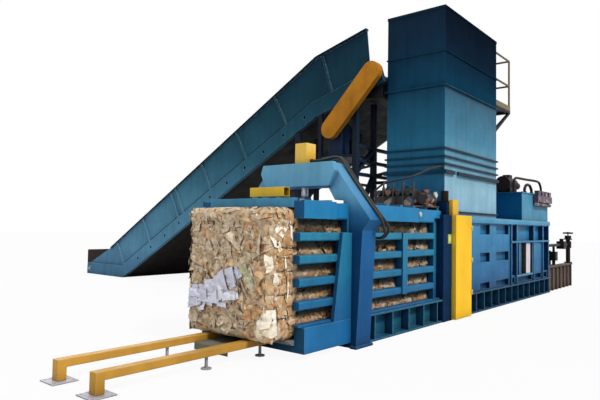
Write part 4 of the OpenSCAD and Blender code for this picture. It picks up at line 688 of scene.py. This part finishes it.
def trims():
    """All small rigid pieces."""
    bright = metal("bolt_steel", (0.30, 0.31, 0.33), 0.35)
    painted = paint("bolt_dark", lin(40, 56, 74), edge=0.002)
    pale_blue = paint("trim_blue", lin(92, 150, 184), wear_colour=EDGE_BLUE)
    # Dark colour for the strips of painted shade on the conveyor's near wall
    navy = paint("rim_painted_shade", lin(20, 34, 48), edge=0.002, wear=0.1, chip=0, spec=0.0)
    body_bolts().piece("bolts_body", painted, "frame", "steel")
    conveyor_bolts().piece("bolts_conveyor", bright, "frame", "steel")
    window_trim().piece("window_trim", pale_blue, "frame", "blue")
    window_post()
    # Painted shade along the wall's upper edge and along the panels' foot
    edging(RIM_X, RIM_LINE, RIM_REACH).piece("conveyor_rim_shade", navy, "frame", "dark_blue")
    edging(PANEL_X, FOOT_LINE, FOOT_REACH).piece("conveyor_foot_shadow", navy, "frame", "dark_blue")
    bare_plate()
    caps()
    bar_blocks()


# Bale: a lumpy body with crumpled flaps of board pressed onto it, grooved where the wires lie

FLAP_TONES = {
    "board": [(0.00, lin(204, 178, 146)), (0.14, lin(212, 190, 160)), (0.30, lin(224, 204, 174)),
              (0.44, lin(192, 166, 134)), (0.56, lin(218, 194, 162)), (0.70, lin(230, 212, 186)),
              (0.84, lin(206, 184, 156)), (1.00, lin(236, 222, 200))],
    "tan": [(0.00, lin(196, 150, 104)), (0.18, lin(214, 172, 124)), (0.36, lin(226, 194, 150)),
            (0.50, lin(180, 128, 84)), (0.64, lin(232, 206, 168)), (0.78, lin(206, 156, 108)),
            (0.90, lin(238, 218, 190)), (1.00, lin(218, 166, 120))],
    "paper": [(0.00, lin(214, 214, 232)), (0.35, lin(228, 228, 242)), (0.6, lin(204, 206, 226)),
              (1.00, lin(238, 238, 246))],
    "cream": [(0.00, lin(246, 236, 214)), (0.5, lin(252, 246, 234)), (1.00, lin(232, 214, 184))],
    "green": [(0.00, lin(190, 198, 150)), (1.00, lin(206, 210, 172))],
}


def slot_shade(s):
    """The dark that the wall beams throw on the bale's sides: deepest in the upper half of each slot."""
    split = s.add("ShaderNodeSeparateXYZ")
    s.join(s.coord, "Object", split, 0)
    slots = s.math("MULTIPLY_ADD", (split, "Z"), 1 / SLOT_PITCH, 0.5 - WIRE_ZS[0] / SLOT_PITCH)
    phase = s.math("FRACT", slots, 0)
    dim = s.ramp(*phase, [(0.30, (0.80, 0.80, 0.82)), (0.46, (0.62, 0.62, 0.66)),
                          (0.56, (0.09, 0.13, 0.17)), (0.74, (0.05, 0.09, 0.13))])
    inside = s.axis("X", WALL_START_X - 0.03, WALL_START_X)
    return s.mix(inside, WHITE, (dim, 0))


def board_material(name, tone=None):
    """Stained cardboard with fine flutes. With a tone, each loose sheet gets one of that tone's shades."""
    s = Shader(name)
    if tone:
        geo = s.add("ShaderNodeNewGeometry")
        base = s.ramp(geo, "Random Per Island", FLAP_TONES[tone]), 0
    else:
        base = s.ramp(s.noise(7, 5, 0.7, (1, 1, 3)), 0, [
            (0.3, lin(104, 82, 64)), (0.5, lin(150, 124, 98)), (0.72, lin(196, 168, 138))]), 0
    plain = tone in ("paper", "cream")
    spots = dark(WHITE, 0.86) if plain else (0.70, 0.65, 0.60)
    stain = s.ramp(s.noise(16, 6, 0.65), 0, [(0.36, spots), (0.6, WHITE)])
    mixed = s.mix(1.0, base, (stain, 0), "MULTIPLY")
    corner = s.add("ShaderNodeAmbientOcclusion", samples=4)
    corner.inputs["Distance"].default_value = FOLD_REACH
    depth = s.ramp(corner, "AO", [(0.30, (0.42, 0.35, 0.30)), (0.80, WHITE)])
    sunk = s.mix(CORNER_SHARE, mixed, (depth, 0), "MULTIPLY")
    sunk = s.mix(1.0, sunk, slot_shade(s), "MULTIPLY")
    flute = s.add("ShaderNodeTexWave")
    flute.inputs["Scale"].default_value = 30
    flute.inputs["Distortion"].default_value = 4
    flute.inputs["Detail"].default_value = 2
    s.join(s.coord, "Object", flute, "Vector")
    lines = s.ramp(flute, 1, [(0.2, dark(WHITE, 0.8)), (0.7, WHITE)])
    final = s.mix(0.2 if plain else 0.6, sunk, (lines, 0), "MULTIPLY")
    s.colour(final)
    s.bsdf.inputs["Roughness"].default_value = 0.85
    s.bsdf.inputs["Specular IOR Level"].default_value = 0.25
    s.join(s.bump((s.noise(46, 5, 0.65), 0), 0.5, 0.006), 0, s.bsdf, "Normal")
    return s.mat


def fbm(p, k):
    """Three octaves of noise at p, from frequency k up."""
    v, a = 0.0, 1.0
    for _ in range(3):
        v += a * noise.noise(p * k)
        k *= 2.1
        a *= 0.5
    return v


def bale_faces(lo, hi):
    """Each side of a box: corner, two edges, outward normal."""
    d = hi - lo
    x, y, z = Vector((d.x, 0, 0)), Vector((0, d.y, 0)), Vector((0, 0, d.z))
    return {
        "front": (lo + y, -y, z, Vector((-1, 0, 0))),
        "back": (lo + x, y, z, Vector((1, 0, 0))),
        "near": (lo.copy(), x, z, Vector((0, -1, 0))),
        "far": (lo + x + y, -x, z, Vector((0, 1, 0))),
        "top": (lo + z, x, y, Vector((0, 0, 1))),
        "under": (lo + y, x, -y, Vector((0, 0, -1))),
    }


# How far a sheet may stand out of each side, so that the channel's walls stay clear, and how deep it may lie
PROUD = {"front": 0.03, "near": 0.006, "far": 0.006, "top": 0.002, "back": 0.002}
DEEPEST = -0.06

# Width of the rounding along the bale's edges, and the grooves that its wires press in
BALE_EDGE = 0.085
GROOVE_W = 0.028
GROOVE_D = 0.020

# The lumpy body lies this far inside its node, low and high corner, and is gridded at this pitch
BODY_LOW = Vector((0.030, 0.018, 0.004))
BODY_HIGH = Vector((0.012, 0.018, 0.014))
BODY_CELL = 0.02

# Its relief: plain depth, lumps and ridges, and the rounding over the outer share of its half size
SKIN, LUMP, RIDGE = 0.008, 0.012, 0.012
ROUND_SPAN = 0.1
ROUND_DEPTH = 0.045


def groove(z):
    """How deep the nearest wire has pressed the board in at height z."""
    gap = min(abs(z - w) for w in WIRE_ZS)
    return GROOVE_D * max(0.0, 1 - gap / GROOVE_W) ** 1.5


def bale_body(name, node, seed):
    """The lumpy block that stands in for a bale's node, rounded at its edges."""
    lo, hi = (Vector(c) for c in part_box(node))
    inner_lo, inner_hi = lo + BODY_LOW, hi - BODY_HIGH
    m = Mesh()
    for corner, u, v, _ in bale_faces(inner_lo, inner_hi).values():
        nu, nv = (max(2, int(side.length / BODY_CELL)) for side in (u, v))
        start = len(m.verts)
        m.verts += [corner + u * (i / nu) + v * (j / nv) for j in range(nv + 1) for i in range(nu + 1)]
        for j in range(nv):
            for i in range(nu):
                a = start + j * (nu + 1) + i
                m.faces.append((a, a + 1, a + nu + 2, a + nu + 1))
    mid = (inner_lo + inner_hi) / 2
    half = (inner_hi - inner_lo) / 2
    for index, p in enumerate(m.verts):
        q = p - mid
        e = [abs(q[k]) / half[k] for k in range(3)]
        near_edge = max(0.0, sorted(e)[1] - (1 - ROUND_SPAN)) / ROUND_SPAN
        rounding = near_edge ** 2 * ROUND_DEPTH
        lump = fbm(Vector((p.x, p.y, p.z * 1.6)) + Vector((seed, 0, 0)), 4.2) * LUMP
        ridge = abs(noise.noise(Vector((p.x * 3, p.y * 3, p.z * 13)) + Vector((0, seed, 0)))) * RIDGE
        inward = Vector([(-math.copysign(1, q[k]) if e[k] > 0.93 else 0) for k in range(3)])
        pressed = groove(p.z) if e[2] < 0.95 else 0.0
        m.verts[index] = p + inward * (SKIN + max(0.0, -lump) + ridge + rounding + pressed)
    body = m.piece(name, MAT["body"], "frame", "board", smooth=True)
    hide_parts(node)


# Width of the front's near strip, where the photograph's board is browner, and its share of tan sheets
NEAR_STRIP = 0.28
NEAR_STRIP_TAN = 0.55

# Random sheets: ranges of width and height, and how many are big, upright or cream
BIG_SHEET = (0.10, 0.30), (0.04, 0.12)
SMALL_SHEET = (0.03, 0.14), (0.012, 0.05)
BIG_SHARE = 0.5
UPRIGHT_SHARE = 0.35
CREAM_SHARE = 0.02

# Relief of a sheet: its tilts, how deep it lies, bend, jagged ends, folds, and the pitch of its grid
TILT_U, TILT_V = 0.10, 0.16
SUNK = (-0.026, -0.008)
BEND = 0.035
JAG = 0.3
SMALL_FOLD, BIG_FOLD = 0.014, 0.026
SHEET_CELL_U, SHEET_CELL_V = 0.022, 0.018


class Flaps:
    """Crumpled sheets pressed onto one bale, collected by tone."""

    def __init__(self, node, seed):
        self.sides = bale_faces(*(Vector(c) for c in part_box(node)))
        self.random = random.Random(seed)
        self.meshes = {tone: Mesh() for tone in FLAP_TONES}

    def sheet(self, tone, side, cu, cv, w, h, turn, deep=None):
        """One sheet, w by h, centred at (cu, cv) metres along the side's two edges.

        It is tilted, bent and folded at random, ends in a jagged line, and sinks towards the bale's edges.
        """
        r = self.random
        m = self.meshes[tone]
        corner, u, v, n = self.sides[side]
        un, vn = u.normalized(), v.normalized()
        tilt_u, tilt_v = r.gauss(0, TILT_U), r.gauss(0, TILT_V)
        depth = r.uniform(*SUNK) if deep is None else deep
        bend = r.uniform(-BEND, BEND)
        phase = r.uniform(0, 100)
        nx, ny = max(3, int(w / SHEET_CELL_U)), max(2, int(h / SHEET_CELL_V))
        jag = [r.uniform(-JAG, JAG) for _ in range(4)]
        inset = 0.004
        start = len(m.verts)
        for j in range(ny + 1):
            for i in range(nx + 1):
                x = (i / nx - 0.5) * w
                y = (j / ny - 0.5) * h
                y += (jag[0] if j == ny else jag[1] if j == 0 else 0) * h * (i / nx - 0.5)
                x += (jag[2] if i == nx else jag[3] if i == 0 else 0) * w * (j / ny - 0.5) * 0.5
                fold = noise.noise(Vector((x * 18, y * 26, phase))) * SMALL_FOLD
                fold += abs(noise.noise(Vector((x * 8, y * 13, phase + 30)))) * BIG_FOLD
                out = depth + tilt_u * x + tilt_v * y + bend * (x * x) / max(w * w, 0.01) + fold
                px = cu + x * math.cos(turn) - y * math.sin(turn)
                py = cv + x * math.sin(turn) + y * math.cos(turn)
                px = min(max(px, inset), u.length - inset)
                py = min(max(py, inset), v.length - inset)
                rim = min(px, u.length - px, py, v.length - py)
                out -= max(0.0, BALE_EDGE - rim) ** 2 / BALE_EDGE * 0.8
                p = corner + un * px + vn * py
                if side != "top":
                    out -= groove(p.z) * (0.35 if side == "front" else 1.0)
                m.verts.append(p + n * max(min(out, PROUD[side]), DEEPEST))
        for j in range(ny):
            for i in range(nx):
                b = start + j * (nx + 1) + i
                m.faces.append((b, b + 1, b + nx + 2, b + nx + 1))

    def scatter(self, side, count, tan_share):
        """Random sheets over one side. The front's near edge has more tan ones."""
        r = self.random
        _, u, v, _ = self.sides[side]
        for _ in range(count):
            widths, heights = BIG_SHEET if r.random() < BIG_SHARE else SMALL_SHEET
            w = r.uniform(*widths)
            h = r.uniform(*heights)
            turn = r.gauss(0, 0.4) + (math.pi / 2 if r.random() < UPRIGHT_SHARE else 0)
            cu, cv = r.uniform(0.01, 0.99) * u.length, r.uniform(0.01, 0.99) * v.length
            share = tan_share
            if side == "front" and cu > u.length - NEAR_STRIP:
                share = NEAR_STRIP_TAN
            tone = "cream" if r.random() < CREAM_SHARE else "tan" if r.random() < share else "board"
            self.sheet(tone, side, cu, cv, w, h, turn)

    def finish(self, name):
        """Make one piece of each tone's sheets."""
        for tone, m in self.meshes.items():
            if m.faces:
                m.piece(name + "_" + tone, MAT[tone], "frame", "board")


# Random sheets on each side of the two bales: how many, and the share of tan ones
FRONT_BALE_SHEETS = {"front": (1500, 0.12), "near": (1150, 0.85), "far": (400, 0.5), "top": (420, 0.4),
                     "back": (40, 0.3)}
NEXT_BALE_SHEETS = {"near": (1000, 0.45), "far": (250, 0.45), "top": (60, 0.4), "back": (260, 0.4)}
FRONT_BALE_SEED = 3
NEXT_BALE_SEED = 9

# Loose sheets that the photograph shows: tone, side, how far they stand out, and for each its place along
# the side (y on the front, x on the near side), z, width, height and turn
SHOWN_SHEETS = [
    ("paper", "front", 0.012, [
        (0.46, 0.50, 0.20, 0.16, 0.1), (0.33, 0.53, 0.22, 0.13, 0.3), (0.20, 0.55, 0.24, 0.17, 0.1),
        (0.07, 0.62, 0.24, 0.20, 0.5), (-0.04, 0.70, 0.22, 0.18, 0.4), (-0.10, 0.62, 0.16, 0.24, 0.2),
        (-0.14, 0.74, 0.14, 0.12, 0.8), (0.30, 0.44, 0.10, 0.12, 0.0), (0.02, 0.52, 0.12, 0.16, 0.2),
        (0.40, 0.47, 0.20, 0.12, 0.1), (0.14, 0.62, 0.22, 0.14, 0.3), (0.22, 0.50, 0.16, 0.12, 0.0),
        (-0.03, 0.60, 0.20, 0.20, 0.4), (0.38, 0.56, 0.20, 0.12, 0.1), (0.10, 0.54, 0.20, 0.12, 0.0)]),
    # These cream strips along the front's far corner are painted light: the corner lit from the side
    ("cream", "front", 0.004, [
        (0.53, 1.22, 0.045, 0.16, 0.05), (0.54, 1.05, 0.045, 0.18, 0.05), (0.53, 0.88, 0.045, 0.16, 0.05),
        (0.545, 0.72, 0.045, 0.12, 0.05)]),
    ("green", "front", 0.008, [
        (-0.25, 0.80, 0.10, 0.09, 0.4), (-0.31, 0.74, 0.08, 0.12, 0.4)]),
    ("cream", "near", 0.004, [
        (-1.18, 1.08, 0.06, 0.15, 0.2), (-1.13, 1.02, 0.05, 0.10, 0.5), (-1.10, 1.12, 0.04, 0.06, 0.9),
        (-1.21, 0.84, 0.04, 0.17, 0.2), (-1.17, 0.74, 0.04, 0.12, -0.2), (-1.20, 0.40, 0.09, 0.13, 0.05),
        (-1.19, 0.28, 0.10, 0.11, 0.1), (-1.00, 0.66, 0.02, 0.20, 0.0), (-0.97, 1.18, 0.03, 0.2, 0.1),
        (-1.04, 0.86, 0.02, 0.10, 0.2)]),
    ("cream", "front", 0.006, [
        (-0.50, 0.38, 0.14, 0.16, 0.05), (-0.50, 0.24, 0.13, 0.14, 0.05), (-0.53, 0.86, 0.05, 0.14, 0.05)]),
]


def front_bale():
    """The bale in the mouth, with the loose sheets that the photograph shows on its sides."""
    bale_body("bale_a", "bale_front", FRONT_BALE_SEED)
    f = Flaps("bale_front", FRONT_BALE_SEED)
    for side, (count, tan_share) in FRONT_BALE_SHEETS.items():
        f.scatter(side, count, tan_share)
    low, high = (Vector(c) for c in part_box("bale_front"))
    for tone, side, out, sheets in SHOWN_SHEETS:
        for place, z, w, h, turn in sheets:
            along = high.y - place if side == "front" else place - low.x
            f.sheet(tone, side, along, z - low.z, w, h, turn, out)
    f.finish("bale_a")


def next_bale():
    """The bale behind it, seen only through the slots."""
    bale_body("bale_b", "bale_next", NEXT_BALE_SEED)
    f = Flaps("bale_next", NEXT_BALE_SEED)
    for side, (count, tan_share) in NEXT_BALE_SHEETS.items():
        f.scatter(side, count, tan_share)
    f.finish("bale_b")


def bale_wires():
    """Baling wires round the finished bale, one in each groove."""
    lo, hi = (Vector(c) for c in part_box("bale_front"))
    m = Mesh()
    inset, bend = 0.016, 0.06
    x0, x1, y0, y1 = lo.x + inset, hi.x - inset, lo.y + inset, hi.y - inset
    corners = [(x0 + bend, y0 + bend, 180), (x1 - bend, y0 + bend, 270), (x1 - bend, y1 - bend, 0),
               (x0 + bend, y1 - bend, 90)]
    per_corner = 4
    for z in WIRE_ZS:
        loop = []
        for cx, cy, a0 in corners:
            for k in range(per_corner + 1):
                a = math.radians(a0 + 90 * k / per_corner)
                loop.append((cx + bend * math.cos(a), cy + bend * math.sin(a), z))
        m.ring(loop, WIRE_R, 6)
    m.piece("bale_wires", metal("wire_steel", (0.10, 0.09, 0.09), 0.5), "frame", "steel")


# Floor, light and background

def sky():
    """Pale sky for the light. The camera, reflections and what is seen through glass get plain white."""
    world = bpy.data.worlds.new("studio")
    bpy.context.scene.world = world
    world.use_nodes = True
    t = world.node_tree
    t.nodes.clear()
    out = t.nodes.new("ShaderNodeOutputWorld")
    mix = t.nodes.new("ShaderNodeMixShader")
    lit = t.nodes.new("ShaderNodeBackground")
    seen = t.nodes.new("ShaderNodeBackground")
    path = t.nodes.new("ShaderNodeLightPath")
    either = t.nodes.new("ShaderNodeMath")
    either.operation = "MAXIMUM"
    through = t.nodes.new("ShaderNodeMath")
    through.operation = "MAXIMUM"
    lit.inputs[0].default_value = (0.86, 0.93, 1.0, 1)
    lit.inputs[1].default_value = SKY
    seen.inputs[0].default_value = (1, 1, 1, 1)
    seen.inputs[1].default_value = 1.0
    t.links.new(path.outputs["Is Camera Ray"], either.inputs[0])
    t.links.new(path.outputs["Is Glossy Ray"], either.inputs[1])
    t.links.new(either.outputs[0], through.inputs[0])
    t.links.new(path.outputs["Is Transmission Ray"], through.inputs[1])
    t.links.new(through.outputs[0], mix.inputs[0])
    t.links.new(lit.outputs[0], mix.inputs[1])
    t.links.new(seen.outputs[0], mix.inputs[2])
    t.links.new(mix.outputs[0], out.inputs[0])


def floor():
    """White floor that keeps a soft shadow of the object."""
    me = bpy.data.meshes.new("floor")
    half, z = 60, -0.002
    corners = [(-half, -half, z), (half, -half, z), (half, half, z), (-half, half, z)]
    me.from_pydata(corners, [], [(0, 1, 2, 3)])
    o = bpy.data.objects.new("floor", me)
    bpy.context.collection.objects.link(o)
    sh = Shader("floor")
    sh.tree.nodes.remove(sh.bsdf)
    diffuse = sh.add("ShaderNodeBsdfDiffuse")
    tone = sh.ramp(sh.noise(0.4, 2), 0, [(0.3, dark(WHITE, 0.60)), (0.7, dark(WHITE, 0.64))])
    sh.join(tone, 0, diffuse, 0)
    glow = sh.add("ShaderNodeEmission")
    glow.inputs[1].default_value = 1.0
    both = sh.add("ShaderNodeMixShader")
    path = sh.add("ShaderNodeLightPath")
    seen = sh.math("MULTIPLY", (path, "Is Camera Ray"), FLOOR_GLOW)
    sh.join(seen[0], 0, both, 0)
    sh.join(diffuse, 0, both, 1)
    sh.join(glow, 0, both, 2)
    sh.join(both, 0, sh.out, 0)
    me.materials.append(sh.mat)


def lamp(name, kind, energy, location, target, size=None, colour=WHITE, angle=None):
    """A lamp at a place, aimed at a target: size is an area lamp's, angle a sun's in degrees."""
    data = bpy.data.lights.new(name, kind)
    data.energy = energy
    data.color = colour
    if size:
        data.shape = "RECTANGLE"
        data.size, data.size_y = size
    if angle:
        data.angle = math.radians(angle)
    o = bpy.data.objects.new(name, data)
    o.location = location
    o.rotation_euler = (Vector(target) - Vector(location)).to_track_quat("-Z", "Y").to_euler()
    bpy.context.collection.objects.link(o)


def lights():
    """A soft sun on the near side, a fill from the front and a weaker sun on the far side."""
    lamp("key", "SUN", SUN, (-1.2, -8, 8.5), (0, 0, 0), angle=10, colour=(1, 0.97, 0.92))
    lamp("fill_front", "AREA", FILL, (-9, -1, 4.0), (0, 1.0, 1.5), size=(7, 5))
    lamp("back", "SUN", BACK_SUN, (5, 9, 7), (0, 0, 0), angle=25, colour=(0.94, 0.97, 1))


MAT = {"body": board_material("board_body")}
for tone_name in FLAP_TONES:
    MAT[tone_name] = board_material("board_" + tone_name, tone_name)

bpy.context.scene.view_settings.view_transform = "Standard"
make_camera()
sky()
floor()
lights()
node_materials()
trims()
front_bale()
next_bale()
bale_wires()
